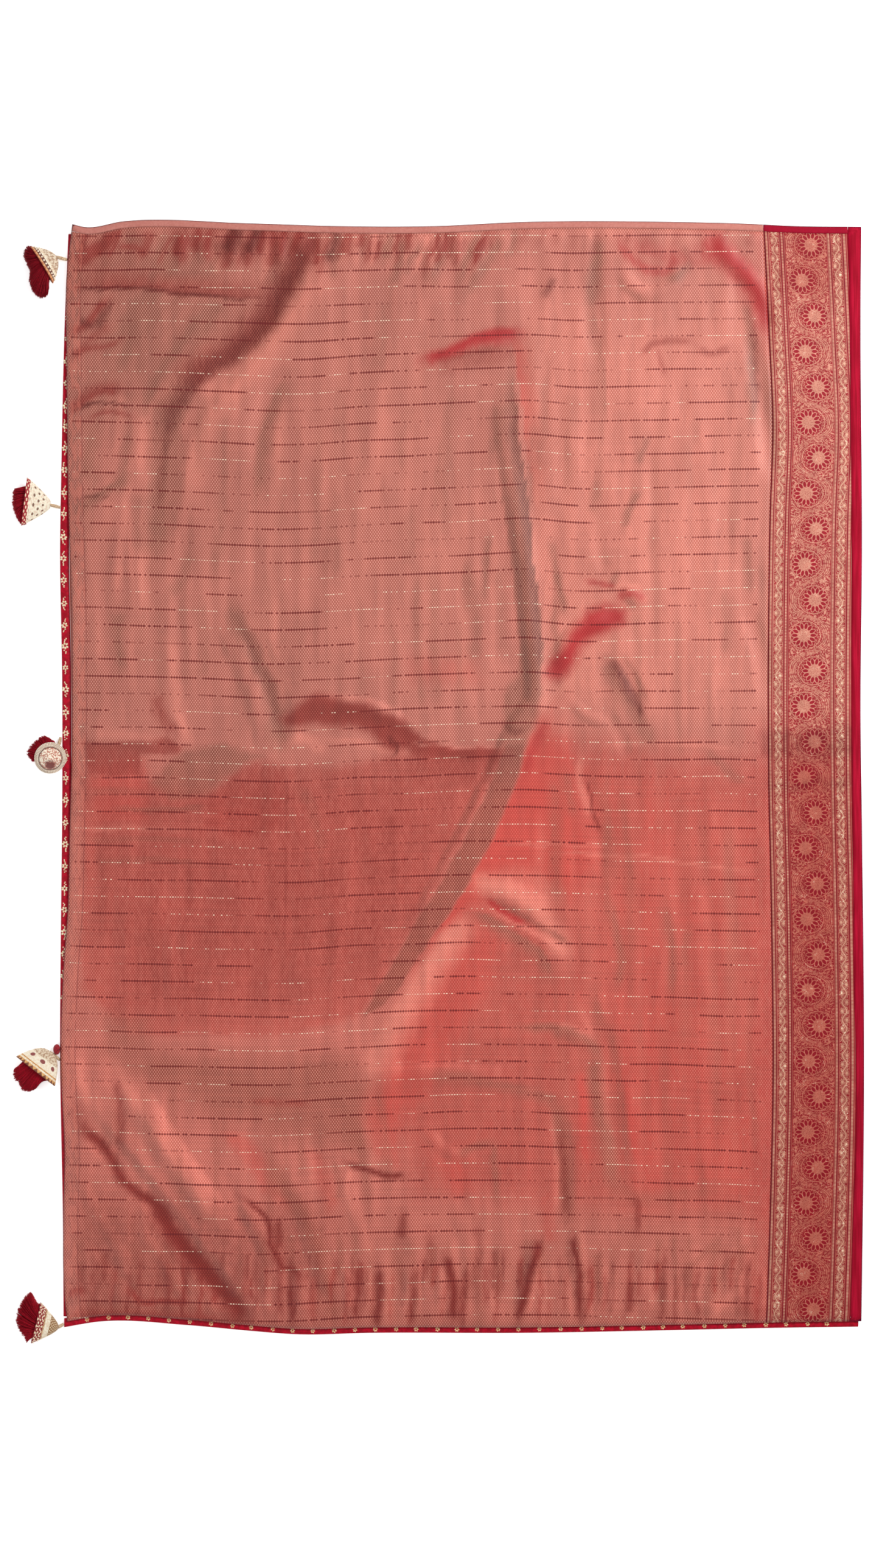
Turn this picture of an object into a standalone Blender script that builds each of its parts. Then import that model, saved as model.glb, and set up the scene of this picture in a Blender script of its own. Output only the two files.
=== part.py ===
"""A saree laid flat: one long cloth folded in three stretches, with its woven border down the right side.

The top stretch is a thin wall that follows its folds. The layers below it share one rounded solid, and
the bottom stretch is flat underneath. Two satin bindings and five tassels belong to the bottom stretch.
Sizes are in millimetres in this file and become metres when a mesh is made. +X runs to the border, +Y to
the heading, and Z = 0 is the surface that the cloth lies on.
"""

import math
from collections import namedtuple

import bmesh
import bpy
import numpy as np
from mathutils import Vector

MM = 0.001

# Heights of the layers above the surface
CLOTH_WALL = 1.5
UNDER_TOP = 1.5
BINDING_TOP = 2.4
BINDING_WIDTH = 13.0
TOP_REST = 5.5
EDGE_DROOP = 2.6
DROOP_REACH = 8.0
LOFT = 3.0
EDGE_LOFT_SHARE = 0.35
EDGE_LOFT_REACH = 26.0
RELIEF_MOST = 14.0

# Flat sizes across the cloth
SEAM_GAP = 0.3
HEADING_DEPTH = 10.5
BOTTOM_BINDING_SHOWS = 8.5
COARSE_CELL = 25.0
FIELD_TRIANGLE_SHARE = 0.135

# Outlines, each row a place along the side and the side's own coordinate there
LEFT_EDGE = ((-797, -568), (-751, -573), (-636, -575), (-548, -573), (-407, -579), (-284, -575),
             (-183, -568), (-88, -566), (33, -563), (221, -563), (410, -568), (596, -570), (728, -570),
             (799, -562))
RIGHT_EDGE = ((-794, 578), (-654, 580), (-450, 582), (-73, 579), (85, 577), (332, 579), (684, 577),
              (799, 578))
TOP_EDGE = ((-562, 799), (-546, 795), (-488, 803), (-306, 800), (-174, 796), (-42, 796), (90, 802),
            (310, 802), (398, 800), (486, 796), (578, 795))
BOTTOM_EDGE = ((-575, -795), (-526, -787), (-394, -792), (-306, -800), (-240, -805), (-130, -803),
               (90, -803), (310, -799), (442, -796), (578, -794))
BINDING_EDGE = ((-790, -575), (-636, -576), (-407, -580), (-231, -579), (-50, -577), (141, -577),
                (332, -580), (455, -578), (666, -573), (785, -568))
BORDER_SEAM = ((-786, 440), (-636, 445), (-460, 449), (-196, 447), (0, 443), (244, 443), (376, 445),
               (508, 449), (631, 444), (794, 436))
SELVEDGE_SEAM = ((-786, 562), (-636, 566), (-504, 570), (-284, 567), (68, 564), (420, 563), (684, 560),
                 (794, 558))

# Folds of the top stretch: the path of the crest, half the width, and the height, negative for a trough.
# A crest leans to the left of its path where lean is positive.
Fold = namedtuple("Fold", "name path half_width height lean")
FOLDS = (
    Fold("shoulder trough", ((-218, 781), (-262, 701), (-333, 605), (-412, 508), (-434, 376), (-429, 323)),
         24, -5.5, 0.2),
    Fold("shoulder ridge", ((-165, 790), (-205, 700), (-265, 610), (-335, 520), (-375, 400)), 34, 3.5, 0.0),
    Fold("shoulder echo", ((-236, 657), (-271, 561), (-289, 490), (-280, 420)), 16, -2.5, 0.0),
    Fold("corner crease high", ((-509, 781), (-535, 755), (-561, 728)), 11, -2.5, 0.0),
    Fold("corner crease low", ((-465, 789), (-482, 754), (-500, 719)), 13, -2.5, 0.0),
    Fold("left crease high", ((-535, 543), (-504, 550), (-473, 552)), 9, -1.6, 0.0),
    Fold("left crease low", ((-535, 420), (-513, 429), (-491, 433)), 9, -1.6, 0.0),
    Fold("upper wrinkle", ((-51, 605), (15, 622), (77, 635)), 10, 3.6, -0.2),
    Fold("centre fold", ((59, 596), (68, 508), (94, 332), (103, 244), (114, 116), (90, 77), (28, -55),
                         (-51, -205), (-126, -328)), 17, 8.0, -0.35),
    Fold("centre fold foot", ((2, -196), (-33, -267), (-60, -319), (-95, -372), (-121, -443), (-139, -504)),
         22, 5.5, 0.0),
    Fold("elbow wrinkle", ((134, 156), (169, 209), (222, 231)), 13, 5.0, 0.2),
    Fold("elbow loop", ((231, 270), (247, 262), (261, 244)), 11, 3.2, 0.0),
    Fold("elbow crease", ((222, 182), (246, 140), (266, 94)), 10, -2.5, 0.0),
    Fold("waist wrinkle", ((-245, 103), (-139, 99), (-60, 59)), 13, 3.8, 0.2),
    Fold("waist line", ((-51, 41), (6, 36), (63, 37)), 7, 2.0, 0.0),
    Fold("left hollow", ((-324, 253), (-289, 182), (-262, 103), (-245, 15)), 15, -3.0, 0.0),
    Fold("left hollow ridge", ((-352, 240), (-318, 165), (-292, 85), (-276, 10)), 14, 3.0, 0.0),
    Fold("level step", ((-552, 54), (-491, 54), (-430, 50)), 10, 2.2, 0.0),
    Fold("corner trough", ((-561, -451), (-526, -513), (-473, -575), (-377, -698), (-324, -768),
                           (-297, -795)), 16, -5.5, 0.0),
    Fold("corner ridge", ((-500, -407), (-456, -487), (-412, -557), (-368, -619), (-333, -680)),
         20, 6.5, 0.15),
    Fold("foot wrinkle 1", ((-324, -601), (-295, -650), (-271, -707)), 12, 3.0, 0.0),
    Fold("foot wrinkle 2", ((-245, -566), (-209, -689), (-174, -768)), 13, 3.2, 0.0),
    Fold("foot wrinkle 3", ((-86, -645), (-92, -720), (-104, -795)), 12, -2.8, 0.0),
    Fold("foot wrinkle 4", ((107, -654), (98, -720), (81, -786)), 12, 4.5, 0.2),
    Fold("foot wrinkle 5", ((165, -636), (170, -710), (178, -786)), 11, 3.0, 0.0),
    Fold("foot wrinkle 6", ((-10, -600), (10, -680), (8, -760)), 12, 2.4, 0.0),
    Fold("foot wrinkle 7", ((275, -650), (262, -720), (268, -790)), 12, 2.2, 0.0),
    Fold("knee ridge", ((37, -152), (86, -176), (134, -196)), 18, 3.8, 0.0),
    Fold("knee crease", ((19, -170), (116, -223), (160, -249)), 8, -2.6, 0.0),
    Fold("shin trough", ((160, -284), (195, -355), (213, -416), (222, -504), (231, -592)), 14, -3.4, 0.0),
    Fold("shin band", ((-157, -440), (-35, -428), (90, -440)), 16, 3.0, 0.0),
    Fold("shin arc", ((125, -363), (156, -368), (187, -390)), 10, 2.5, 0.0),
    Fold("ankle trough", ((134, -451), (151, -548), (151, -636)), 12, -3.0, 0.0),
    Fold("border trough high", ((411, 666), (429, 578), (442, 473), (446, 420)), 13, -3.4, 0.0),
    Fold("border trough low", ((411, 261), (433, 173), (444, 85)), 13, -3.2, 0.0),
    Fold("crown wrinkle", ((363, 781), (398, 737), (433, 701), (438, 666)), 12, 3.2, 0.0),
    Fold("crown loop", ((222, 745), (257, 701), (301, 710), (319, 754)), 11, 3.0, 0.0),
    Fold("crown streak", ((200, 781), (191, 657), (204, 587)), 13, -2.2, 0.0),
    Fold("left swell", ((-470, -60), (-440, -220), (-330, -330)), 105, 2.2, 0.0),
    Fold("right swell", ((300, 430), (320, 160), (330, -160), (330, -520)), 95, 2.2, 0.0),
    Fold("upper swell", ((-60, 740), (-100, 540), (-130, 300)), 95, 2.0, 0.0),
)

# Short gathers that hang from a side: the first and last place along X, their number, and where each starts
Gather = namedtuple("Gather", "first_x last_x count start_y length half_width height")
GATHERS = (
    Gather(-403, -209, 9, 786, 52, 9, 2.2),
    Gather(-51, 20, 4, 784, 78, 9, 2.0),
    Gather(-230, -40, 7, -700, 90, 10, 1.8),
    Gather(300, 400, 4, -690, 96, 11, 1.8),
)

# Hidden layers, from their floor to their crown: how far each ring lies in from the edge of the top stretch
LayerRing = namedtuple("LayerRing", "inset z")
LAYER_RINGS = (
    LayerRing(6.5, 1.8), LayerRing(4.4, 2.0), LayerRing(4.4, 2.5), LayerRing(5.4, 2.7), LayerRing(4.6, 2.9),
    LayerRing(4.9, 3.3), LayerRing(6.2, 3.5), LayerRing(5.4, 3.7), LayerRing(6.0, 4.1), LayerRing(7.6, 4.3),
    LayerRing(7.0, 4.5), LayerRing(9.0, 5.2),
)
LAYER_CORNER = 14.0
LAYER_LEAST_INSET = 4.4
BINDING_CLEARANCE = 0.8
SIDE_POINTS = 12
CORNER_POINTS = 3
UNDER_INSET = 4.0

# Where the two bindings are drawn across, from their lower or left end
BOTTOM_BINDING_PLACES = np.linspace(-574.0, 574.0, 24)
LEFT_BINDING_PLACES = np.linspace(-779.6, 785.0, 22)

# Tassels on the left side. apex and mouth are the two ends of the cone's axis, and anchor is where the neck
# is sewn on. across and high are half the mouth's width and height. Each fan row is a direction in degrees
# and a reach.
Tassel = namedtuple("Tassel", "anchor apex mouth across high fan")
TASSELS = {
    "tassel_1": Tassel((-570.4, 748.0, 2.2), (-585.0, 751.5, 6.5), (-605.5, 738.8, 11.2), 31.5, 9.6,
                       ((142, 34), (165, 33), (200, 32), (235, 38), (258, 48), (272, 46))),
    "tassel_2": Tassel((-580.0, 390.0, 2.2), (-594.0, 393.4, 6.5), (-631.0, 397.8, 11.2), 34.5, 9.6,
                       ((128, 20), (160, 19), (190, 18), (225, 24), (250, 33))),
    "tassel_3": Tassel((-579.3, 57.0, 2.2), (-591.1, 25.1, 24.8), (-593.5, 28.0, 7.2), 23.0, 22.5,
                       ((104, 28), (125, 27), (142, 25.5), (160, 27), (176, 29.5))),
    "tassel_4": Tassel((-580.7, -408.0, 2.2), (-588.5, -402.5, 6.5), (-614.0, -425.0, 11.2), 34.0, 9.6,
                       ((172, 34), (196, 31), (224, 32), (250, 32), (272, 26))),
    "tassel_5": Tassel((-575.4, -790.4, 2.6), (-582.5, -794.3, 6.5), (-614.5, -789.5, 11.2), 30.5, 9.6,
                       ((101, 50), (126, 40), (160, 31), (182, 28), (205, 26), (232, 26))),
}
NECK_RADIUS = 2.0
NECK_SIDES = 8
CONE_WALL = 1.2
CONE_SIDES = 16
CONE_STATIONS = (0.0, 0.22, 0.55, 0.85, 1.0)
CONE_SWELL = 0.75
FRINGE_COLUMNS = 10
FRINGE_ROWS = 3
HEAD_DEPTH = 7.0
HEAD_INSIDE = 2.0
HEAD_CLEARANCE = 0.9
HEAD_BULGE = 9.0
HEAD_NARROWING = 0.35
HEAD_ACROSS_SHARE = 0.62
HEAD_REAR_SHARE = 0.7
STRAND_INSET = 0.55
STRAND_TIP_SHARE = 0.45
STRAND_MIDDLE_SHARE = 0.8
STRAND_SPREAD = 0.45
STRAND_LOWEST = 2.2
STRAND_TOP_SHARE = 0.95
ROW_STAGGER = 0.05

# The third tassel stands on its mouth, so its neck ends at the head below the cone
STANDING_TASSEL = "tassel_3"
STANDING_HEAD = (-591.5, 30.0, 6.6)
STANDING_ACROSS = 13.0
STANDING_HIGH = 3.8
STANDING_BULGE = 4.0
STANDING_NECK_END = (-582.6, 41.6, 6.6)
BEAD_CENTRE = (-584.3, -393.0, 5.4)
BEAD_RADII = (5.1, 7.6, 5.0)

# Colour, roughness and metallic value of each kind of piece
FINISHES = {
    "shot_silk": ((0.50, 0.17, 0.13), 0.45, 0.1),
    "gold_border": ((0.58, 0.16, 0.13), 0.4, 0.2),
    "crimson_silk": ((0.50, 0.01, 0.04), 0.4, 0.0),
    "pale_heading": ((0.74, 0.42, 0.38), 0.6, 0.0),
    "red_heading": ((0.45, 0.03, 0.05), 0.5, 0.0),
    "inner_cloth": ((0.42, 0.12, 0.10), 0.6, 0.0),
    "satin_binding": ((0.35, 0.01, 0.03), 0.35, 0.0),
    "stitched_cone": ((0.80, 0.70, 0.52), 0.7, 0.0),
    "red_thread": ((0.30, 0.005, 0.02), 0.8, 0.0),
}


def clear_scene():
    for obj in list(bpy.data.objects):
        bpy.data.objects.remove(obj, do_unlink=True)


def finish(name):
    """The Principled material of that name, made on first use."""
    known = bpy.data.materials.get(name)
    if known:
        return known
    colour, roughness, metallic = FINISHES[name]
    material = bpy.data.materials.new(name)
    material.use_nodes = True
    shader = material.node_tree.nodes["Principled BSDF"]
    shader.inputs["Base Color"].default_value = (*colour, 1.0)
    shader.inputs["Roughness"].default_value = roughness
    shader.inputs["Metallic"].default_value = metallic
    return material


def piece(name, bm, finish_name):
    """Turns a closed bmesh in millimetres into the named object."""
    bmesh.ops.recalc_face_normals(bm, faces=bm.faces)
    bmesh.ops.scale(bm, vec=(MM, MM, MM), verts=bm.verts)
    mesh = bpy.data.meshes.new(name)
    bm.to_mesh(mesh)
    bm.free()
    mesh.shade_smooth()
    mesh.set_sharp_from_angle(angle=math.radians(50))
    mesh.materials.append(finish(finish_name))
    obj = bpy.data.objects.new(name, mesh)
    bpy.context.collection.objects.link(obj)
    return obj


def along(table, place):
    """Reads a smooth curve through a table of (place, value) rows."""
    places, values = np.array(table, float).T
    slopes = np.gradient(values, places)
    row = np.clip(np.searchsorted(places, place) - 1, 0, len(places) - 2)
    span = places[row + 1] - places[row]
    t = np.clip((place - places[row]) / span, 0.0, 1.0)
    start = values[row] * (1 + 2 * t) * (1 - t) ** 2 + slopes[row] * span * t * (1 - t) ** 2
    end = values[row + 1] * t**2 * (3 - 2 * t) - slopes[row + 1] * span * t**2 * (1 - t)
    return start + end


def smooth_step(t):
    t = np.clip(t, 0.0, 1.0)
    return t * t * (3 - 2 * t)


def curve_points(path, count):
    """Evenly numbered points on a smooth curve through the path's own points."""
    path = np.array(path, float)
    knots = np.arange(len(path))
    at = np.linspace(0, len(path) - 1, count)
    return np.stack([along(np.stack([knots, values], 1), at) for values in path.T], 1)


def fold_height(fold, x, y):
    """The height that one fold adds at each point."""
    points = curve_points(fold.path, 6 * len(fold.path))
    nearest = np.full(x.shape, np.inf)
    offset = np.zeros(x.shape)
    share = np.zeros(x.shape)
    for index, (start, end) in enumerate(zip(points[:-1], points[1:])):
        step = end - start
        length = math.hypot(*step)
        t = np.clip(((x - start[0]) * step[0] + (y - start[1]) * step[1]) / length**2, 0, 1)
        gap_x = x - start[0] - t * step[0]
        gap_y = y - start[1] - t * step[1]
        distance = np.hypot(gap_x, gap_y)
        closer = distance < nearest
        side = np.sign(step[0] * gap_y - step[1] * gap_x)
        nearest = np.where(closer, distance, nearest)
        offset = np.where(closer, distance * side, offset)
        share = np.where(closer, (index + t) / (len(points) - 1), share)
    across = np.clip(offset / fold.half_width, -1, 1)
    across = across - fold.lean * (1 - across**2)
    ends = smooth_step(share / 0.2) * smooth_step((1 - share) / 0.2)
    return fold.height * (1 - across**2) ** 2 * ends


def gather_folds():
    """Each gather as a fold of its own, uneven in length and height by a fixed rule."""
    folds = []
    for row, gather in enumerate(GATHERS):
        for index, x in enumerate(np.linspace(gather.first_x, gather.last_x, gather.count)):
            uneven = 0.75 + 0.25 * math.sin(2.3 * index + row)
            x = x + 5 * math.sin(1.7 * index + 2 * row)
            end_y = gather.start_y - gather.length * uneven
            slant = 6 * math.sin(index + row)
            path = ((x, gather.start_y), (x + slant / 2, (gather.start_y + end_y) / 2), (x + slant, end_y))
            folds.append(Fold("gather", path, gather.half_width, gather.height * uneven, 0.0))
    return folds


def edge_distance(x, y):
    """How far each point lies in from the edge of the top stretch."""
    bottom = along(BOTTOM_EDGE, x) + BOTTOM_BINDING_SHOWS
    sides = (x - along(LEFT_EDGE, y), along(RIGHT_EDGE, y) - x, along(TOP_EDGE, x) - y, y - bottom)
    return np.maximum(np.minimum.reduce(sides), 0.0)


def top_height(x, y):
    """The lower face of the top stretch at each point."""
    relief = LOFT + sum(fold_height(fold, x, y) for fold in (*FOLDS, *gather_folds()))
    relief = np.clip((relief + np.sqrt(relief**2 + 1.0)) / 2, 0.0, RELIEF_MOST)
    inside = edge_distance(x, y)
    loft_share = EDGE_LOFT_SHARE + (1 - EDGE_LOFT_SHARE) * smooth_step(inside / EDGE_LOFT_REACH)
    return TOP_REST - EDGE_DROOP * (1 - smooth_step(inside / DROOP_REACH)) + relief * loft_share


def cloth_patch(name, west, east, south, north, finish_name, finer=False):
    """A thin wall on the folds, between two sides given by Y and two sides given by X."""
    middle = (west(0.0) + east(0.0)) / 2
    columns = max(1, round((east(0.0) - west(0.0)) / COARSE_CELL))
    rows = max(1, round((north(middle) - south(middle)) / COARSE_CELL))
    bm = bmesh.new()
    bmesh.ops.create_grid(bm, x_segments=columns, y_segments=rows, size=0.5)
    if finer:
        inner = [edge for edge in bm.edges if not edge.is_boundary]
        bmesh.ops.subdivide_edges(bm, edges=inner, cuts=1, use_grid_fill=True)
    bm.verts.ensure_lookup_table()
    across, up = np.array([vert.co.xy for vert in bm.verts]).T + 0.5
    x = west(np.zeros_like(up)) * (1 - across) + east(np.zeros_like(up)) * across
    for _ in range(3):
        y = south(x) * (1 - up) + north(x) * up
        x = west(y) * (1 - across) + east(y) * across
    z = top_height(x, y)
    for vert, place in zip(bm.verts, np.stack([x, y, z], 1)):
        vert.co = Vector(place)
    bmesh.ops.triangulate(bm, faces=bm.faces)
    if finer:
        bm = thinned(bm)
    lower = bmesh.ops.extrude_face_region(bm, geom=bm.faces[:], use_keep_orig=True)["geom"]
    upper = [item for item in lower if isinstance(item, bmesh.types.BMVert)]
    bmesh.ops.translate(bm, vec=(0, 0, CLOTH_WALL), verts=upper)
    return piece(name, bm, finish_name)


def thinned(bm):
    """Keeps the triangles that the folds need, and every point of the patch's own edge."""
    edge_points = {vert.index for vert in bm.verts if vert.is_boundary}
    inner_points = [vert.index for vert in bm.verts if vert.index not in edge_points]
    mesh = bpy.data.meshes.new("patch_in_work")
    bm.to_mesh(mesh)
    bm.free()
    obj = bpy.data.objects.new("patch_in_work", mesh)
    bpy.context.collection.objects.link(obj)
    group = obj.vertex_groups.new(name="inner")
    group.add(inner_points, 1.0, "REPLACE")
    decimate = obj.modifiers.new("fewer triangles", "DECIMATE")
    decimate.ratio = FIELD_TRIANGLE_SHARE
    decimate.vertex_group = group.name
    graph = bpy.context.evaluated_depsgraph_get()
    result = bmesh.new()
    result.from_object(obj, graph)
    bpy.data.objects.remove(obj, do_unlink=True)
    bpy.data.meshes.remove(mesh)
    return result


def loft(rings):
    """A closed body from rings with equal numbers of points, capped at both ends."""
    bm = bmesh.new()
    loops = [[bm.verts.new(point) for point in ring] for ring in rings]
    for lower, upper in zip(loops[:-1], loops[1:]):
        for index in range(len(lower)):
            following = (index + 1) % len(lower)
            bm.faces.new((lower[index], lower[following], upper[following], upper[index]))
    bm.faces.new(loops[0][::-1])
    bm.faces.new(loops[-1])
    return bm


def layer_ring(inset, z):
    """One level line of the hidden layers, with rounded corners."""
    past_binding = BINDING_WIDTH + BINDING_CLEARANCE + inset - LAYER_LEAST_INSET
    corner = LAYER_CORNER

    def west(y):
        return np.maximum(along(LEFT_EDGE, y) + inset, along(BINDING_EDGE, y) + past_binding)

    def east(y):
        return along(RIGHT_EDGE, y) - inset

    def south(x):
        return along(BOTTOM_EDGE, x) + past_binding

    def north(x):
        return along(TOP_EDGE, x) - inset

    corners = {}
    for key, x, y in (("sw", -560, -780), ("se", 575, -780), ("ne", 575, 795), ("nw", -560, 795)):
        corners[key] = (west(y) if key[1] == "w" else east(y), south(x) if key[0] == "s" else north(x))
    shares = 0.5 - 0.5 * np.cos(np.linspace(0, math.pi, SIDE_POINTS))
    xs = corners["sw"][0] + corner + shares * (corners["se"][0] - corners["sw"][0] - 2 * corner)
    ys = corners["se"][1] + corner + shares * (corners["ne"][1] - corners["se"][1] - 2 * corner)
    points = [(x, south(x)) for x in xs]
    points += corner_points(corners["se"], corner, -90)
    points += [(east(y), y) for y in ys]
    points += corner_points(corners["ne"], corner, 0)
    points += [(x, north(x)) for x in xs[::-1]]
    points += corner_points(corners["nw"], corner, 90)
    points += [(west(y), y) for y in ys[::-1]]
    points += corner_points(corners["sw"], corner, 180)
    return [(x, y, z) for x, y in points]


def corner_points(corner, radius, start_degrees):
    """The inner points of a quarter turn that rounds one corner."""
    turn_x = math.cos(math.radians(start_degrees + 45))
    turn_y = math.sin(math.radians(start_degrees + 45))
    centre_x = corner[0] - math.copysign(radius, turn_x)
    centre_y = corner[1] - math.copysign(radius, turn_y)
    shares = [(k + 1) / (CORNER_POINTS + 1) for k in range(CORNER_POINTS)]
    angles = [math.radians(start_degrees + 90 * share) for share in shares]
    return [(centre_x + radius * math.cos(a), centre_y + radius * math.sin(a)) for a in angles]


def binding_ring(outer, inner_step, z_profile):
    """The D-shaped section of a rolled binding, from its outer point inwards."""
    return [outer + inner_step * share + Vector((0, 0, z)) for share, z in z_profile]


# The section of a rolled binding: a share of its width and a height, round from its outer foot
BINDING_SECTION = ((0.03, 0.0), (0.97, 0.0), (1.0, 0.5), (0.93, 1.5), (0.6, 2.2), (0.3, BINDING_TOP),
                   (0.06, 1.6), (0.0, 0.7))


def left_binding():
    rings = []
    for y in LEFT_BINDING_PLACES:
        outer = Vector((float(along(BINDING_EDGE, y)), y, 0))
        rings.append(binding_ring(outer, Vector((BINDING_WIDTH, 0, 0)), BINDING_SECTION))
    for point in rings[0]:
        point.y = bottom_seam(point.x)
    return piece("edging_left", loft(rings), "satin_binding")


def bottom_binding():
    rings = []
    for x in BOTTOM_BINDING_PLACES:
        outer = Vector((x, float(along(BOTTOM_EDGE, x)), 0))
        rings.append(binding_ring(outer, Vector((0, BINDING_WIDTH, 0)), BINDING_SECTION))
    return piece("edging_bottom", loft(rings), "satin_binding")


def bottom_seam(x):
    """Where the left binding and the bottom stretch meet the bottom binding's inner side."""
    inner = [along(BOTTOM_EDGE, place) + BINDING_WIDTH for place in BOTTOM_BINDING_PLACES]
    return float(np.interp(x, BOTTOM_BINDING_PLACES, inner)) + SEAM_GAP


def under_outline():
    """The bottom stretch meets both bindings along their own stations, so that the seams stay even."""
    seam = BINDING_WIDTH + SEAM_GAP
    points = [(x, along(BOTTOM_EDGE, x) + seam) for x in BOTTOM_BINDING_PLACES[1:-1]]
    points += [(along(RIGHT_EDGE, y) - UNDER_INSET, y) for y in np.linspace(-776.0, 790.0, 8)]
    points += [(x, along(TOP_EDGE, x) - UNDER_INSET) for x in np.linspace(560.0, -540.0, 12)]
    points += [(along(BINDING_EDGE, y) + seam, y) for y in LEFT_BINDING_PLACES[:0:-1]]
    corner_x = along(BINDING_EDGE, LEFT_BINDING_PLACES[0]) + seam
    return points + [(corner_x, bottom_seam(corner_x))]


def lower_layers():
    flat = [[(x, y, z) for x, y in under_outline()] for z in (0.0, UNDER_TOP)]
    piece("under_stretch", loft(flat), "inner_cloth")
    rings = [layer_ring(ring.inset, ring.z) for ring in LAYER_RINGS]
    piece("hidden_layers", loft(rings), "inner_cloth")


def top_stretch():
    half_gap = SEAM_GAP / 2

    def left(y):
        return along(LEFT_EDGE, y)

    def right(y):
        return along(RIGHT_EDGE, y)

    def top(x):
        return along(TOP_EDGE, x)

    def bottom(x):
        return along(BOTTOM_EDGE, x) + BOTTOM_BINDING_SHOWS

    def heading(x):
        return top(x) - HEADING_DEPTH

    def seam(table, side):
        return lambda y: along(table, y) + side * half_gap

    def below_heading(x):
        return heading(x) - half_gap

    def above_heading(x):
        return heading(x) + half_gap

    field_end = seam(BORDER_SEAM, -1)
    border_start = seam(BORDER_SEAM, 1)
    border_end = seam(SELVEDGE_SEAM, -1)
    selvedge_start = seam(SELVEDGE_SEAM, 1)
    cloth_patch("top_field", left, field_end, bottom, below_heading, "shot_silk", finer=True)
    cloth_patch("top_border", border_start, border_end, bottom, below_heading, "gold_border")
    cloth_patch("top_selvedge", selvedge_start, right, bottom, top, "crimson_silk")
    cloth_patch("top_heading", left, field_end, above_heading, top, "pale_heading")
    cloth_patch("top_heading_border", border_start, border_end, above_heading, top, "red_heading")


def round_section(centre, direction, across, high, sides):
    """An ellipse across a direction, with its long axis level."""
    direction = direction.normalized()
    level = direction.cross(Vector((0, 0, 1))).normalized()
    upright = level.cross(direction)
    angles = [2 * math.pi * k / sides for k in range(sides)]
    return [centre + level * across * math.cos(a) + upright * high * math.sin(a) for a in angles]


def neck(name, row):
    """The thread neck from the binding to just short of the cone."""
    start = Vector(row.anchor)
    stop = Vector(STANDING_NECK_END if name == STANDING_TASSEL else row.apex)
    run = (stop - start).normalized()
    end_run = run if name == STANDING_TASSEL else (Vector(row.mouth) - stop).normalized()
    stop = stop - end_run * SEAM_GAP
    rings = []
    for share in (0.0, 0.3, 0.6, 0.85, 1.0):
        knot = 1.0 + 0.35 * math.sin(math.pi * share)
        centre = start.lerp(stop, share)
        rings.append(round_section(centre, run.lerp(end_run, share), NECK_RADIUS * knot, NECK_RADIUS * knot,
                                   NECK_SIDES))
    return piece(name + "_neck", loft(rings), "stitched_cone")


def cone(name, row):
    """The stitched cloth cone, hollow and open at its mouth."""
    apex = Vector(row.apex)
    mouth = Vector(row.mouth)
    axis = mouth - apex
    outer = []
    inner = []
    for share in CONE_STATIONS:
        open_share = 0.12 + 0.88 * share**CONE_SWELL
        high_share = open_share if name == STANDING_TASSEL else 0.35 + 0.65 * share**CONE_SWELL
        across = row.across * open_share
        high = row.high * high_share
        centre = apex.lerp(mouth, share)
        outer.append(round_section(centre, axis, across, high, CONE_SIDES))
        if share > 0:
            inner.append(round_section(centre, axis, across - CONE_WALL, high - CONE_WALL, CONE_SIDES))
    return piece(name + "_cone", loft(outer + inner[::-1]), "stitched_cone")


def fan_reach(fan, share):
    """Direction and reach of the strand at a share of the way round the fan."""
    degrees, reaches = np.array(fan, float).T
    shares = (degrees - degrees[0]) / (degrees[-1] - degrees[0])
    return math.radians(np.interp(share, shares, degrees)), float(np.interp(share, shares, reaches))


def fringe(name, row):
    """Cut threads that stand apart, with their roots in one small head inside the cone."""
    if name == STANDING_TASSEL:
        centre = Vector(STANDING_HEAD)
        across = STANDING_ACROSS
        high = STANDING_HIGH
        dome = STANDING_BULGE
        middle = fan_reach(row.fan, 0.5)[0]
        facing = Vector((math.cos(middle), math.sin(middle), 0))
    else:
        facing = (Vector(row.mouth) - Vector(row.apex)).normalized()
        centre = Vector(row.mouth) - facing * HEAD_INSIDE
        across = row.across * HEAD_ACROSS_SHARE
        high = row.high - CONE_WALL - HEAD_CLEARANCE
        dome = HEAD_BULGE
    first = fan_reach(row.fan, 0.0)[0]
    towards_first = facing.cross(Vector((0, 0, 1))).normalized()
    towards_first *= math.copysign(1.0, towards_first.dot(Vector((math.cos(first), math.sin(first), 0))))
    bm = bmesh.new()
    bmesh.ops.create_grid(bm, x_segments=FRINGE_COLUMNS, y_segments=FRINGE_ROWS, size=0.5)
    for vert in bm.verts:
        u, v = 2 * vert.co.x, 2 * vert.co.y
        bulge = facing * dome * (1 - u**2)
        narrow = 1 - HEAD_NARROWING * u**2
        vert.co = centre + towards_first * across * u + Vector((0, 0, high * v * narrow)) + bulge
    cells = bm.faces[:]
    kept = bmesh.ops.extrude_face_region(bm, geom=cells, use_keep_orig=True)["geom"]
    rear = [item for item in kept if isinstance(item, bmesh.types.BMVert)]
    for vert in rear:
        vert.co = centre + (vert.co - centre) * HEAD_REAR_SHARE - facing * HEAD_DEPTH
    bmesh.ops.recalc_face_normals(bm, faces=bm.faces)
    bm.faces.ensure_lookup_table()
    bmesh.ops.inset_individual(bm, faces=cells, thickness=STRAND_INSET)
    for cell in cells:
        grow_strand(bm, cell, row, centre, towards_first, across, high)
    return piece(name + "_fringe", bm, "red_thread")


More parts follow.
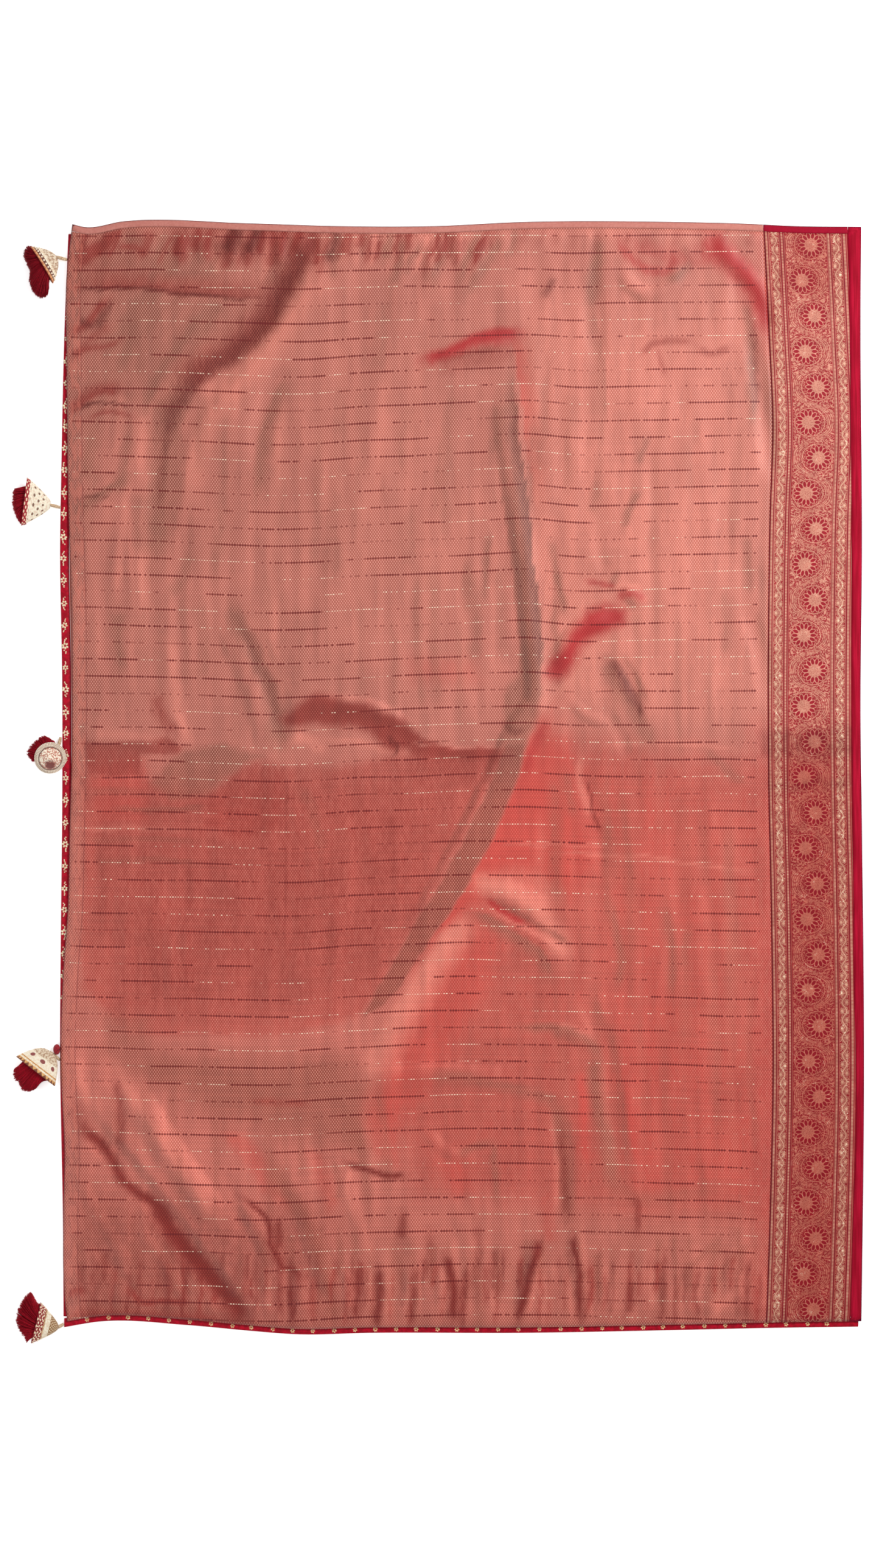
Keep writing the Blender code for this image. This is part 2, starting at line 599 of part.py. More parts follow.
def grow_strand(bm, cell, row, centre, towards_first, across, high):
    """Pulls one cell of the head out into a tapering strand in two bends."""
    root = cell.calc_center_median()
    share = 0.5 - (root - centre).dot(towards_first) / (2 * across)
    height = (root.z - centre.z) / high
    angle, reach = fan_reach(row.fan, share + ROW_STAGGER * height)
    mouth_gap = (Vector(row.mouth) - centre).xy.length
    tip_z = STRAND_LOWEST + (height + 1) * 0.5 * centre.z * STRAND_TOP_SHARE
    outwards = Vector((math.cos(angle), math.sin(angle), 0))
    tip = centre + outwards * (reach + mouth_gap) + (root - centre) * STRAND_SPREAD
    tip.z = tip_z
    middle = root.lerp(tip, 0.5)
    middle.z = root.z * 0.6 + tip_z * 0.4
    for target, size in ((middle, STRAND_MIDDLE_SHARE), (tip, STRAND_TIP_SHARE)):
        cell = bmesh.ops.extrude_discrete_faces(bm, faces=[cell])["faces"][0]
        centre_now = cell.calc_center_median()
        for vert in cell.verts:
            vert.co = target + (vert.co - centre_now) * size
    return cell


def thread_bead():
    bm = bmesh.new()
    bmesh.ops.create_uvsphere(bm, u_segments=12, v_segments=8, radius=1.0)
    bmesh.ops.scale(bm, vec=BEAD_RADII, verts=bm.verts)
    bmesh.ops.translate(bm, vec=BEAD_CENTRE, verts=bm.verts)
    return piece("tassel_4_bead", bm, "red_thread")


def tassels():
    for name, row in TASSELS.items():
        neck(name, row)
        cone(name, row)
        fringe(name, row)
    thread_bead()


def main():
    clear_scene()
    lower_layers()
    left_binding()
    bottom_binding()
    top_stretch()
    tassels()


main()
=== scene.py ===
"""The look of a saree laid flat and folded in three stretches, with its woven border down the right side.

The cloth of the top stretch is made as thin shells on the folds of its solids. Its colour holds painted
light:
the shot silk's turn from salmon to beige, deep red or pale pink with the lie of the cloth is painted sheen,
with painted highlights on its ridges and painted shade in its troughs, and listed rows say where. Sizes are
in millimetres in this file and become metres when a mesh is made. +X runs to the border, +Y to the heading.
"""

import math
from collections import namedtuple
from functools import reduce

import bpy
import numpy as np
from mathutils import Matrix, Vector


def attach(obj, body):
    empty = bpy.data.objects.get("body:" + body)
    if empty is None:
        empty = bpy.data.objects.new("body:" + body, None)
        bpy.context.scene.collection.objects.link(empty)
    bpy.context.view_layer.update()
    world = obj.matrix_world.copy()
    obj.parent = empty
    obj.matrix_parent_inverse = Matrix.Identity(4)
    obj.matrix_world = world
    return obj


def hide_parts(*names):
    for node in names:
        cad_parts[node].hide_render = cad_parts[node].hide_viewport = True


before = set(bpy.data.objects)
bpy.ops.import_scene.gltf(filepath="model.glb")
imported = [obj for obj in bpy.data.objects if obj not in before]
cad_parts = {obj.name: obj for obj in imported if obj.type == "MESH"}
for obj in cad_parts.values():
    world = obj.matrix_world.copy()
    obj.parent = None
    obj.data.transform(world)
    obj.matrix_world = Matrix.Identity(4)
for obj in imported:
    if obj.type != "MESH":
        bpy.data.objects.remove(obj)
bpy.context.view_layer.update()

MM = 0.001

# Heights, as in the solids
CLOTH_WALL = 1.5
BINDING_TOP = 2.4
BINDING_WIDTH = 13.0
TOP_REST = 5.5
EDGE_DROOP = 2.6
DROOP_REACH = 8.0
LOFT = 3.0
EDGE_LOFT_SHARE = 0.35
EDGE_LOFT_REACH = 26.0
RELIEF_MOST = 14.0
SLOPE_STEP = 1.5
SEAM_GAP = 0.3
HEADING_DEPTH = 10.5
BOTTOM_BINDING_SHOWS = 8.5

# The cloth's own thickness, and how finely it is drawn
SILK_THICKNESS = 0.6
CLOTH_CELL = 4.4
HEM_TURN = 14.0

# Outlines, each row a place along the side and the side's own coordinate there
LEFT_EDGE = ((-797, -568), (-751, -573), (-636, -575), (-548, -573), (-407, -579), (-284, -575),
             (-183, -568), (-88, -566), (33, -563), (221, -563), (410, -568), (596, -570), (728, -570),
             (799, -562))
RIGHT_EDGE = ((-794, 578), (-654, 580), (-450, 582), (-73, 579), (85, 577), (332, 579), (684, 577),
              (799, 578))
TOP_EDGE = ((-562, 799), (-546, 795), (-488, 803), (-306, 800), (-174, 796), (-42, 796), (90, 802),
            (310, 802), (398, 800), (486, 796), (578, 795))
BOTTOM_EDGE = ((-575, -795), (-526, -787), (-394, -792), (-306, -800), (-240, -805), (-130, -803),
               (90, -803), (310, -799), (442, -796), (578, -794))
BINDING_EDGE = ((-790, -575), (-636, -576), (-407, -580), (-231, -579), (-50, -577), (141, -577),
                (332, -580), (455, -578), (666, -573), (785, -568))
BORDER_SEAM = ((-786, 440), (-636, 445), (-460, 449), (-196, 447), (0, 443), (244, 443), (376, 445),
               (508, 449), (631, 444), (794, 436))
SELVEDGE_SEAM = ((-786, 562), (-636, 566), (-504, 570), (-284, 567), (68, 564), (420, 563), (684, 560),
                 (794, 558))

# Uneven waves: the height of each, the sizes of its lumps along X and Y, and its seed
LATTICE = 97
LOFT_WAVES = ((0.45, 21, 140, 1), (0.35, 12, 60, 2))
TONE_WAVES_X = ((2.6, 23, 31, 3), (1.2, 9, 12, 4))
TONE_WAVES_Y = ((2.6, 27, 23, 5), (1.2, 11, 10, 6))
THREAD_WAVES = ((1.3, 75, 120, 7),)

# A fold of the shells is wider and lower than its line in the table, as pressed silk lies
FOLD_SPREAD = 1.45
FOLD_RISE = 0.62
FOLD_END = 0.3

# Folds of the top stretch: the path of the crest, half the width, and the height, negative for a trough.
# A crest leans to the left of its path where lean is positive.
Fold = namedtuple("Fold", "name path half_width height lean")
FOLDS = [Fold(*row) for row in (
    ("shoulder trough", ((-218, 781), (-262, 701), (-333, 605), (-412, 508), (-434, 376), (-429, 323)),
     24, -5.5, 0.2),
    ("shoulder ridge", ((-165, 790), (-205, 700), (-265, 610), (-335, 520), (-375, 400)), 34, 3.5, 0.0),
    ("shoulder echo", ((-236, 657), (-271, 561), (-289, 490), (-280, 420)), 16, -2.5, 0.0),
    ("corner crease high", ((-509, 781), (-535, 755), (-561, 728)), 11, -2.5, 0.0),
    ("corner crease low", ((-465, 789), (-482, 754), (-500, 719)), 13, -2.5, 0.0),
    ("left crease high", ((-535, 543), (-504, 550), (-473, 552)), 9, -1.6, 0.0),
    ("left crease low", ((-535, 420), (-513, 429), (-491, 433)), 9, -1.6, 0.0),
    ("upper wrinkle", ((-51, 605), (15, 622), (77, 635)), 10, 3.6, -0.2),
    ("centre fold", ((59, 596), (68, 508), (94, 332), (103, 244), (114, 116), (90, 77), (28, -55),
                     (-51, -205), (-126, -328)), 17, 8.0, -0.35),
    ("centre fold foot", ((2, -196), (-33, -267), (-60, -319), (-95, -372), (-121, -443), (-139, -504)),
     22, 5.5, 0.0),
    ("elbow wrinkle", ((134, 156), (169, 209), (222, 231)), 13, 5.0, 0.2),
    ("elbow loop", ((231, 270), (247, 262), (261, 244)), 11, 3.2, 0.0),
    ("elbow crease", ((222, 182), (246, 140), (266, 94)), 10, -2.5, 0.0),
    ("waist wrinkle", ((-245, 103), (-139, 99), (-60, 59)), 13, 3.8, 0.2),
    ("waist line", ((-51, 41), (6, 36), (63, 37)), 7, 2.0, 0.0),
    ("left hollow", ((-324, 253), (-289, 182), (-262, 103), (-245, 15)), 15, -3.0, 0.0),
    ("left hollow ridge", ((-352, 240), (-318, 165), (-292, 85), (-276, 10)), 14, 3.0, 0.0),
    ("level step", ((-552, 54), (-491, 54), (-430, 50)), 10, 2.2, 0.0),
    ("corner trough", ((-561, -451), (-526, -513), (-473, -575), (-377, -698), (-324, -768), (-297, -795)),
     16, -5.5, 0.0),
    ("corner ridge", ((-500, -407), (-456, -487), (-412, -557), (-368, -619), (-333, -680)), 20, 6.5, 0.15),
    ("foot wrinkle 1", ((-324, -601), (-295, -650), (-271, -707)), 12, 3.0, 0.0),
    ("foot wrinkle 2", ((-245, -566), (-209, -689), (-174, -768)), 13, 3.2, 0.0),
    ("foot wrinkle 3", ((-86, -645), (-92, -720), (-104, -795)), 12, -2.8, 0.0),
    ("foot wrinkle 4", ((107, -654), (98, -720), (81, -786)), 12, 4.5, 0.2),
    ("foot wrinkle 5", ((165, -636), (170, -710), (178, -786)), 11, 3.0, 0.0),
    ("foot wrinkle 6", ((-10, -600), (10, -680), (8, -760)), 12, 2.4, 0.0),
    ("foot wrinkle 7", ((275, -650), (262, -720), (268, -790)), 12, 2.2, 0.0),
    ("knee ridge", ((37, -152), (86, -176), (134, -196)), 18, 3.8, 0.0),
    ("knee crease", ((19, -170), (116, -223), (160, -249)), 8, -2.6, 0.0),
    ("shin trough", ((160, -284), (195, -355), (213, -416), (222, -504), (231, -592)), 14, -3.4, 0.0),
    ("shin band", ((-157, -440), (-35, -428), (90, -440)), 16, 3.0, 0.0),
    ("shin arc", ((125, -363), (156, -368), (187, -390)), 10, 2.5, 0.0),
    ("ankle trough", ((134, -451), (151, -548), (151, -636)), 12, -3.0, 0.0),
    ("border trough high", ((411, 666), (429, 578), (442, 473), (446, 420)), 13, -3.4, 0.0),
    ("border trough low", ((411, 261), (433, 173), (444, 85)), 13, -3.2, 0.0),
    ("crown wrinkle", ((363, 781), (398, 737), (433, 701), (438, 666)), 12, 3.2, 0.0),
    ("crown loop", ((222, 745), (257, 701), (301, 710), (319, 754)), 11, 3.0, 0.0),
    ("crown streak", ((200, 781), (191, 657), (204, 587)), 13, -2.2, 0.0),
    ("left swell", ((-470, -60), (-440, -220), (-330, -330)), 105, 2.2, 0.0),
    ("right swell", ((300, 430), (320, 160), (330, -160), (330, -520)), 95, 2.2, 0.0),
    ("upper swell", ((-60, 740), (-100, 540), (-130, 300)), 95, 2.0, 0.0),
)]

# Short gathers that hang from a side: the first and last place along X, their number, and where each starts
Gather = namedtuple("Gather", "first_x last_x count start_y length half_width height")
GATHERS = (
    Gather(-403, -209, 9, 786, 52, 9, 2.2),
    Gather(-51, 20, 4, 784, 78, 9, 2.0),
    Gather(-230, -40, 7, -700, 90, 10, 1.8),
    Gather(300, 400, 4, -690, 96, 11, 1.8),
)

# Finer creases, which only the shells have
FINE_FOLDS = [Fold(*row) for row in (
    ("corner pleat 1", ((-545, 700), (-505, 735), (-470, 775)), 9, 1.3, 0.3),
    ("corner pleat 2", ((-520, 650), (-470, 700), (-430, 760)), 10, 1.4, 0.3),
    ("corner pleat 3", ((-470, 640), (-420, 690), (-380, 755)), 9, -1.2, 0.0),
    ("corner pleat 4", ((-420, 625), (-370, 680), (-330, 750)), 9, 1.2, 0.3),
    ("corner pleat 5", ((-545, 590), (-500, 630), (-460, 680)), 9, -1.2, 0.0),
    ("neck pleat", ((-475, 715), (-400, 722), (-330, 716)), 8, -1.4, 0.0),
    ("left drape 1", ((-505, 420), (-515, 250), (-500, 90)), 13, -1.3, 0.0),
    ("left drape 2", ((-460, 460), (-470, 300), (-455, 110)), 12, 1.1, 0.0),
    ("left drape 3", ((-395, 380), (-410, 240), (-400, 70)), 11, -1.2, 0.0),
    ("middle drape 1", ((-200, 470), (-215, 330), (-205, 180)), 12, 1.0, 0.0),
    ("middle drape 2", ((-110, 420), (-120, 300), (-105, 150)), 14, -1.0, 0.0),
    ("middle drape 3", ((20, 480), (10, 330), (25, 200)), 14, 1.2, 0.0),
    ("right drape 1", ((150, 560), (165, 430), (150, 300)), 12, 1.1, 0.0),
    ("right drape 2", ((210, 430), (200, 330), (215, 290)), 9, -1.2, 0.0),
    ("right drape 3", ((285, 560), (275, 440), (295, 330)), 10, -1.0, 0.0),
    ("elbow ray 1", ((150, 120), (180, 90), (215, 75)), 8, 1.4, 0.0),
    ("elbow ray 2", ((205, 105), (230, 60), (240, 20)), 9, -1.6, 0.0),
    ("elbow ray 3", ((130, 215), (160, 260), (195, 290)), 9, 1.2, 0.0),
    ("hip drape 1", ((170, 30), (195, -60), (205, -160)), 13, -1.5, 0.0),
    ("hip drape 2", ((235, 20), (250, -90), (265, -220)), 12, 1.2, 0.0),
    ("hip drape 3", ((300, -40), (315, -170), (330, -300)), 11, -1.0, 0.0),
    ("hem drape 1", ((240, -420), (250, -520), (245, -640)), 11, 1.4, 0.0),
    ("hem drape 2", ((330, -520), (345, -610), (335, -720)), 12, -1.3, 0.0),
    ("hem drape 3", ((-170, -560), (-150, -640), (-130, -720)), 10, 1.6, 0.0),
    ("hem drape 4", ((-340, -560), (-330, -600), (-300, -690)), 9, -1.4, 0.0),
    ("hem drape 5", ((40, -560), (50, -640), (42, -720)), 10, -1.4, 0.0),
    ("low corner pleat 1", ((-560, -560), (-520, -640), (-470, -720)), 9, 1.5, 0.0),
    ("low corner pleat 2", ((-550, -650), (-500, -710), (-450, -770)), 8, -1.3, 0.0),
    ("low corner pleat 3", ((-470, -640), (-430, -700), (-390, -770)), 8, 1.3, 0.0),
    ("shin pleat", ((-60, -500), (-20, -540), (40, -560)), 9, 1.4, 0.0),
    ("back drape", ((-420, -90), (-360, -80), (-290, -110)), 12, 1.0, 0.0),
)]
FINE_GATHERS = (
    Gather(-540, 60, 27, 789, 62, 6.5, 1.0),
    Gather(80, 420, 11, 789, 40, 7, 0.7),
    Gather(-280, 430, 32, -700, 92, 6.5, 1.2),
    Gather(-550, -300, 10, -730, 60, 6, 0.8),
)

# Where the painted sheen and painted shade of the shot silk lie. A streak follows a path and fades out over
# a width on each side of it, and a patch fills an outline and fades over its softness. Each has a tone and
# its strength.
STREAK_SPREAD = 1.35
STREAK_END = 0.16
STREAK_END_STRENGTH = 0.25
Streak = namedtuple("Streak", "tone path left right strength")
Patch = namedtuple("Patch", "tone corners softness strength")
# Painted light: the pale pink tone is a painted highlight, the brown, russet and darkest tones painted
# shade, and the other reds painted sheen of shot silk.
TONES = ("blush_sheen", "coral_sheen", "highlight", "beige_shade", "russet_shade", "crimson_sheen", "shade")
DIAGONAL_BAND = ((93, 46), (77, -12), (62, -52), (33, -110), (4, -158), (-29, -212), (-51, -243),
                 (-80, -290), (-112, -330), (-142, -348), (-120, -302), (-95, -262), (-73, -222),
                 (-51, -187), (-29, -150), (-2, -99), (22, -52), (46, -4), (62, 46))
STREAKS = [Streak(*row) for row in (
    # The shoulder trough
    ("russet_shade", ((-206, 786), (-221, 762), (-248, 712), (-280, 660), (-323, 617), (-374, 584), (-400, 548)),
     18, 36, 0.8),
    ("beige_shade", ((-208, 780), (-248, 712), (-280, 660), (-323, 617), (-374, 584), (-405, 540), (-430, 498)),
     16, 50, 0.85),
    ("shade", ((-212, 780), (-226, 752), (-250, 706), (-282, 654), (-325, 612), (-374, 580), (-408, 532),
               (-430, 480)), 12, 24, 0.6),
    ("beige_shade", ((-392, 572), (-420, 515), (-431, 448), (-436, 389), (-441, 300)), 20, 22, 1.0),
    ("shade", ((-410, 540), (-424, 500), (-433, 440), (-436, 380)), 8, 10, 0.4),
    ("highlight", ((-200, 720), (-246, 668), (-270, 628), (-304, 590), (-346, 540), (-380, 470), (-398, 380)),
     26, 24, 0.8),
    ("beige_shade", ((-250, 580), (-268, 545), (-284, 505), (-293, 450), (-296, 400)), 20, 8, 0.75),
    # The drapes outside it
    ("highlight", ((-340, 652), (-378, 603), (-415, 568), (-448, 538), (-460, 474), (-462, 410)), 15, 15, 0.8),
    ("beige_shade", ((-357, 690), (-386, 653), (-420, 603), (-440, 570), (-460, 526)), 9, 12, 0.95),
    ("beige_shade", ((-400, 770), (-428, 714), (-455, 676), (-476, 637), (-490, 590)), 9, 10, 0.9),
    ("beige_shade", ((-431, 790), (-438, 735), (-457, 696), (-480, 668)), 8, 9, 0.85),
    ("highlight", ((-415, 750), (-444, 700), (-470, 660)), 6, 6, 0.5),
    ("highlight", ((-376, 700), (-402, 665), (-436, 620)), 7, 7, 0.5),
    ("beige_shade", ((-534, 500), (-538, 465), (-545, 430)), 10, 10, 0.85),
    ("beige_shade", ((-482, 505), (-484, 460), (-488, 410)), 9, 10, 0.7),
    # The upper left corner
    ("russet_shade", ((-552, 704), (-505, 707), (-458, 704), (-415, 699), (-373, 696), (-323, 693), (-280, 690)),
     27, 3, 0.7),
    ("shade", ((-560, 704), (-505, 706), (-458, 703), (-373, 695), (-280, 689)), 4, 3, 0.8),
    ("russet_shade", ((-500, 778), (-525, 757), (-552, 735)), 9, 12, 0.9),
    ("shade", ((-560, 668), (-535, 650), (-515, 668), (-503, 690)), 8, 9, 0.6),
    ("beige_shade", ((-462, 690), (-486, 655), (-512, 615)), 13, 10, 0.8),
    ("beige_shade", ((-428, 694), (-455, 650), (-479, 620), (-500, 590)), 12, 10, 0.7),
    ("beige_shade", ((-345, 686), (-366, 660), (-384, 630)), 14, 12, 0.8),
    ("beige_shade", ((-470, 786), (-488, 755), (-515, 722)), 12, 10, 0.75),
    ("beige_shade", ((-405, 786), (-418, 752), (-440, 722)), 10, 12, 0.7),
    # The gathers at the top
    ("russet_shade", ((-379, 792), (-384, 777), (-390, 760)), 9, 9, 0.9),
    ("russet_shade", ((-360, 792), (-364, 775), (-371, 758)), 8, 8, 0.8),
    ("shade", ((-322, 794), (-330, 776), (-341, 756)), 15, 13, 0.85),
    ("shade", ((-292, 792), (-300, 774), (-309, 755)), 12, 11, 0.85),
    ("russet_shade", ((-267, 790), (-270, 776), (-273, 762)), 7, 7, 0.7),
    ("shade", ((-178, 790), (-182, 770), (-190, 742)), 11, 12, 0.75),
    ("russet_shade", ((-157, 788), (-161, 772), (-167, 752)), 8, 8, 0.8),
    ("russet_shade", ((-142, 788), (-144, 776), (-147, 764)), 8, 8, 0.7),
    ("beige_shade", ((-99, 788), (-105, 768), (-114, 744)), 10, 9, 0.9),
    ("russet_shade", ((-30, 788), (-34, 770), (-36, 758)), 6, 6, 0.6),
    ("russet_shade", ((-8, 788), (-14, 768), (-20, 744)), 9, 8, 0.7),
    # The left side
    ("russet_shade", ((-492, 790), (-523, 766), (-560, 750)), 11, 9, 0.95),
    ("russet_shade", ((-494, 765), (-474, 764), (-455, 760)), 6, 6, 0.8),
    ("russet_shade", ((-508, 692), (-530, 670), (-546, 650), (-566, 644)), 10, 9, 0.9),
    ("russet_shade", ((-492, 630), (-535, 619), (-566, 614)), 6, 6, 0.75),
    ("russet_shade", ((-472, 521), (-512, 530), (-540, 519)), 5, 5, 0.7),
    ("russet_shade", ((-562, 600), (-545, 622), (-520, 645), (-505, 652)), 9, 10, 0.45),
    ("russet_shade", ((-565, 524), (-545, 542), (-520, 556), (-488, 556)), 15, 6, 0.85),
    ("shade", ((-562, 528), (-530, 541), (-500, 541), (-480, 536)), 3, 3, 0.7),
    ("beige_shade", ((-560, 382), (-534, 399), (-510, 414), (-478, 436)), 7, 12, 0.95),
    ("shade", ((-563, 400), (-530, 404), (-500, 400)), 3, 3, 0.5),
    ("beige_shade", ((-463, 416), (-466, 370), (-462, 320)), 9, 10, 0.5),
    ("beige_shade", ((-492, 245), (-494, 200), (-488, 150)), 10, 12, 0.8),
    ("beige_shade", ((-392, 330), (-400, 290), (-420, 262)), 12, 12, 0.6),
    ("highlight", ((-460, 326), (-458, 280), (-455, 236)), 10, 10, 0.5),
    ("highlight", ((-425, 200), (-416, 170), (-412, 106), (-402, 75), (-388, 44)), 9, 9, 0.8),
    ("russet_shade", ((-440, 120), (-432, 88), (-412, 62)), 13, 13, 0.6),
    # The left hollow and the middle
    ("beige_shade", ((-332, 256), (-322, 228), (-304, 192), (-286, 155), (-271, 112), (-264, 70), (-258, 26)),
     14, 20, 1.0),
    ("shade", ((-318, 226), (-300, 186), (-281, 144), (-268, 100), (-258, 60)), 10, 12, 0.3),
    ("highlight", ((-306, 240), (-284, 196), (-266, 150), (-250, 112)), 13, 8, 0.6),
    ("beige_shade", ((-107, 694), (-115, 643), (-117, 580)), 12, 13, 0.45),
    ("beige_shade", ((-72, 392), (-77, 340), (-77, 300)), 12, 12, 0.35),
    ("beige_shade", ((-176, 420), (-182, 350), (-178, 280)), 10, 16, 0.35),
    # The upper wrinkle and the diagonals near it
    ("crimson_sheen", ((-60, 600), (-30, 610), (-3, 622), (24, 635), (55, 641), (88, 644)), 10, 14, 1.0),
    ("crimson_sheen", ((10, 628), (40, 636), (80, 641)), 12, 18, 0.7),
    ("russet_shade", ((-40, 590), (20, 606), (80, 616)), 18, 18, 0.4),
    ("beige_shade", ((58, 780), (31, 730), (8, 695)), 12, 14, 0.75),
    ("shade", ((134, 722), (127, 705), (119, 690)), 7, 9, 0.5),
    ("beige_shade", ((-12, 770), (-30, 735), (-42, 700)), 9, 12, 0.5),
    # The centre fold and the creases that run to it
    ("beige_shade", ((199, 784), (195, 749), (191, 726), (186, 664)), 13, 13, 1.0),
    ("beige_shade", ((190, 680), (203, 619), (208, 560), (206, 510)), 3, 24, 0.5),
    ("beige_shade", ((73, 596), (77, 545), (81, 497), (92, 409), (102, 341), (107, 276), (113, 207), (115, 165),
               (112, 128)), 2, 24, 1.0),
    ("beige_shade", ((88, 440), (100, 350), (108, 260), (114, 190), (112, 130)), 2, 28, 1.0),
    ("shade", ((76, 560), (83, 480), (96, 380), (106, 280), (112, 200), (111, 140)), 2, 16, 0.42),
    ("coral_sheen", ((74, 640), (80, 590), (88, 543), (97, 467), (105, 400)), 22, 2, 0.75),
    ("beige_shade", ((62, 540), (54, 500), (50, 460)), 12, 16, 0.6),
    ("highlight", ((90, 560), (104, 440), (116, 320), (126, 210), (132, 150)), 26, 6, 0.4),
    ("beige_shade", ((42, 356), (37, 300), (32, 250)), 6, 8, 0.75),
    ("beige_shade", ((11, 318), (9, 270), (6, 236)), 7, 9, 0.5),
    ("shade", ((60, 84), (66, 70), (80, 65), (94, 70)), 8, 6, 0.45),
    # The creases to its right
    ("beige_shade", ((270, 494), (262, 470), (256, 450)), 7, 8, 0.65),
    ("beige_shade", ((253, 416), (244, 388), (236, 360)), 7, 9, 0.8),
    ("beige_shade", ((196, 430), (193, 400), (190, 380)), 9, 9, 0.45),
    ("beige_shade", ((138, 300), (143, 270), (153, 234)), 7, 9, 0.85),
    ("beige_shade", ((128, 345), (134, 315), (139, 283)), 7, 6, 0.6),
    ("beige_shade", ((226, 296), (220, 284), (214, 268)), 7, 8, 0.6),
    # The elbow
    ("crimson_sheen", ((118, 142), (146, 174), (172, 209), (199, 228), (230, 235)), 8, 8, 0.45),
    ("crimson_sheen", ((224, 256), (238, 263), (254, 262), (264, 252)), 9, 9, 0.75),
    ("highlight", ((214, 270), (236, 277), (262, 272)), 6, 4, 0.9),
    ("shade", ((212, 172), (228, 150), (240, 130), (253, 107), (264, 84)), 9, 10, 0.75),
    ("beige_shade", ((205, 170), (225, 140), (250, 95), (270, 62), (274, 40)), 13, 16, 0.7),
    ("highlight", ((240, 170), (266, 130), (290, 90)), 18, 12, 0.45),
    ("highlight", ((132, 120), (160, 140), (196, 130)), 9, 9, 0.45),
    # The waist
    ("russet_shade", ((-95, 72), (-62, 54), (-28, 44)), 6, 5, 0.9),
    ("russet_shade", ((-80, 47), (-40, 42), (0, 41), (62, 41)), 1.5, 18, 0.9),
    ("russet_shade", ((-80, 46), (0, 40), (62, 40)), 2, 50, 0.6),
    ("highlight", ((-250, 62), (-222, 54), (-196, 34)), 10, 12, 0.7),
    ("highlight", ((-205, 56), (-150, 52), (-104, 40), (-60, 30)), 5, 8, 0.5),
    ("shade", ((-106, 60), (-92, 44), (-98, 30)), 4, 4, 0.7),
    ("beige_shade", ((-236, -20), (-220, -34), (-206, -78), (-202, -110)), 12, 12, 0.5),
    # The level stripes
    ("beige_shade", ((-504, -46), (-430, -48), (-366, -45)), 5, 5, 0.8),
    ("highlight", ((-552, -76), (-470, -73), (-388, -76)), 5, 5, 0.55),
    ("beige_shade", ((-552, -92), (-470, -90), (-380, -94)), 7, 5, 0.55),
    ("beige_shade", ((-530, -120), (-440, -118), (-366, -125)), 5, 6, 0.6),
    ("beige_shade", ((-540, -24), (-500, -22), (-450, -26)), 8, 8, 0.45),
    ("shade", ((-252, 4), (-253, -80), (-254, -160), (-256, -260)), 2.5, 2.5, 0.45),
    # The diagonal band
    ("coral_sheen", ((120, 92), (97, 40), (80, -14), (65, -54), (36, -112), (7, -160), (-26, -214), (-54, -250)),
     56, 3, 1.0),
    ("crimson_sheen", ((126, 86), (106, 46), (90, 4)), 12, 6, 0.55),
    ("highlight", ((20, -190), (-20, -232), (-60, -290), (-96, -345), (-126, -400), (-148, -470)), 34, 14, 1.0),
    # The hip
    ("highlight", ((172, 34), (168, 3), (178, -30), (190, -60)), 9, 7, 0.5),
    ("shade", ((182, 2), (190, -45), (201, -84)), 3, 4, 0.7),
    ("beige_shade", ((150, 10), (156, -20), (166, -60)), 8, 12, 0.5),
    ("beige_shade", ((210, -60), (222, -110), (226, -160)), 9, 12, 0.35),
    ("beige_shade", ((217, -176), (226, -231), (232, -267), (224, -310)), 9, 10, 0.75),
    ("beige_shade", ((297, -180), (305, -256), (303, -316)), 8, 10, 0.65),
    ("beige_shade", ((328, -214), (322, -250), (320, -280)), 9, 9, 0.55),
    ("beige_shade", ((352, 40), (380, 14), (412, -8)), 8, 10, 0.6),
    ("highlight", ((130, -110), (240, -112), (330, -124), (430, -136)), 3, 4, 0.45),
    ("highlight", ((60, -96), (140, -98), (220, -100)), 3, 3, 0.4),
    ("highlight", ((210, 46), (300, 48), (420, 40)), 4, 5, 0.4),
    # The knee, the shin and the ankle
    ("highlight", ((8, -148), (44, -158), (84, -172), (116, -198), (140, -238), (146, -270)), 20, 20, 1.0),
    ("highlight", ((40, -150), (100, -150), (150, -190)), 24, 14, 0.45),
    ("crimson_sheen", ((36, -176), (62, -194), (92, -210)), 5, 5, 1.0),
    ("beige_shade", ((14, -194), (44, -203), (73, -222), (106, -244), (126, -268), (132, -294)), 4, 17, 1.0),
    ("beige_shade", ((84, -362), (125, -358), (156, -368), (185, -384), (198, -404)), 7, 11, 1.0),
    ("beige_shade", ((196, -396), (193, -432), (200, -473), (210, -517), (216, -556), (220, -600)), 13, 15, 1.0),
    ("beige_shade", ((214, -570), (240, -600), (300, -606), (380, -590)), 14, 14, 0.45),
    ("beige_shade", ((-60, -424), (12, -432), (75, -448), (119, -460), (138, -482)), 10, 13, 0.7),
    ("beige_shade", ((134, -470), (142, -504), (147, -548), (152, -595), (155, -645)), 12, 12, 1.0),
    ("shade", ((143, -500), (149, -570), (154, -640)), 8, 9, 0.6),
    ("coral_sheen", ((172, -420), (176, -480), (180, -560)), 11, 10, 0.8),
    ("coral_sheen", ((216, -410), (228, -470), (250, -530), (262, -570)), 24, 6, 0.8),
    ("beige_shade", ((-4, -546), (20, -533), (44, -526)), 8, 9, 0.7),
    ("beige_shade", ((46, -524), (50, -567), (53, -615)), 6, 7, 0.8),
    # The lower left
    ("beige_shade", ((-470, -414), (-410, -424), (-351, -432), (-278, -455), (-205, -428), (-150, -410)),
     20, 20, 0.8),
    ("beige_shade", ((-214, -442), (-172, -470), (-150, -505), (-142, -545)), 4, 24, 0.95),
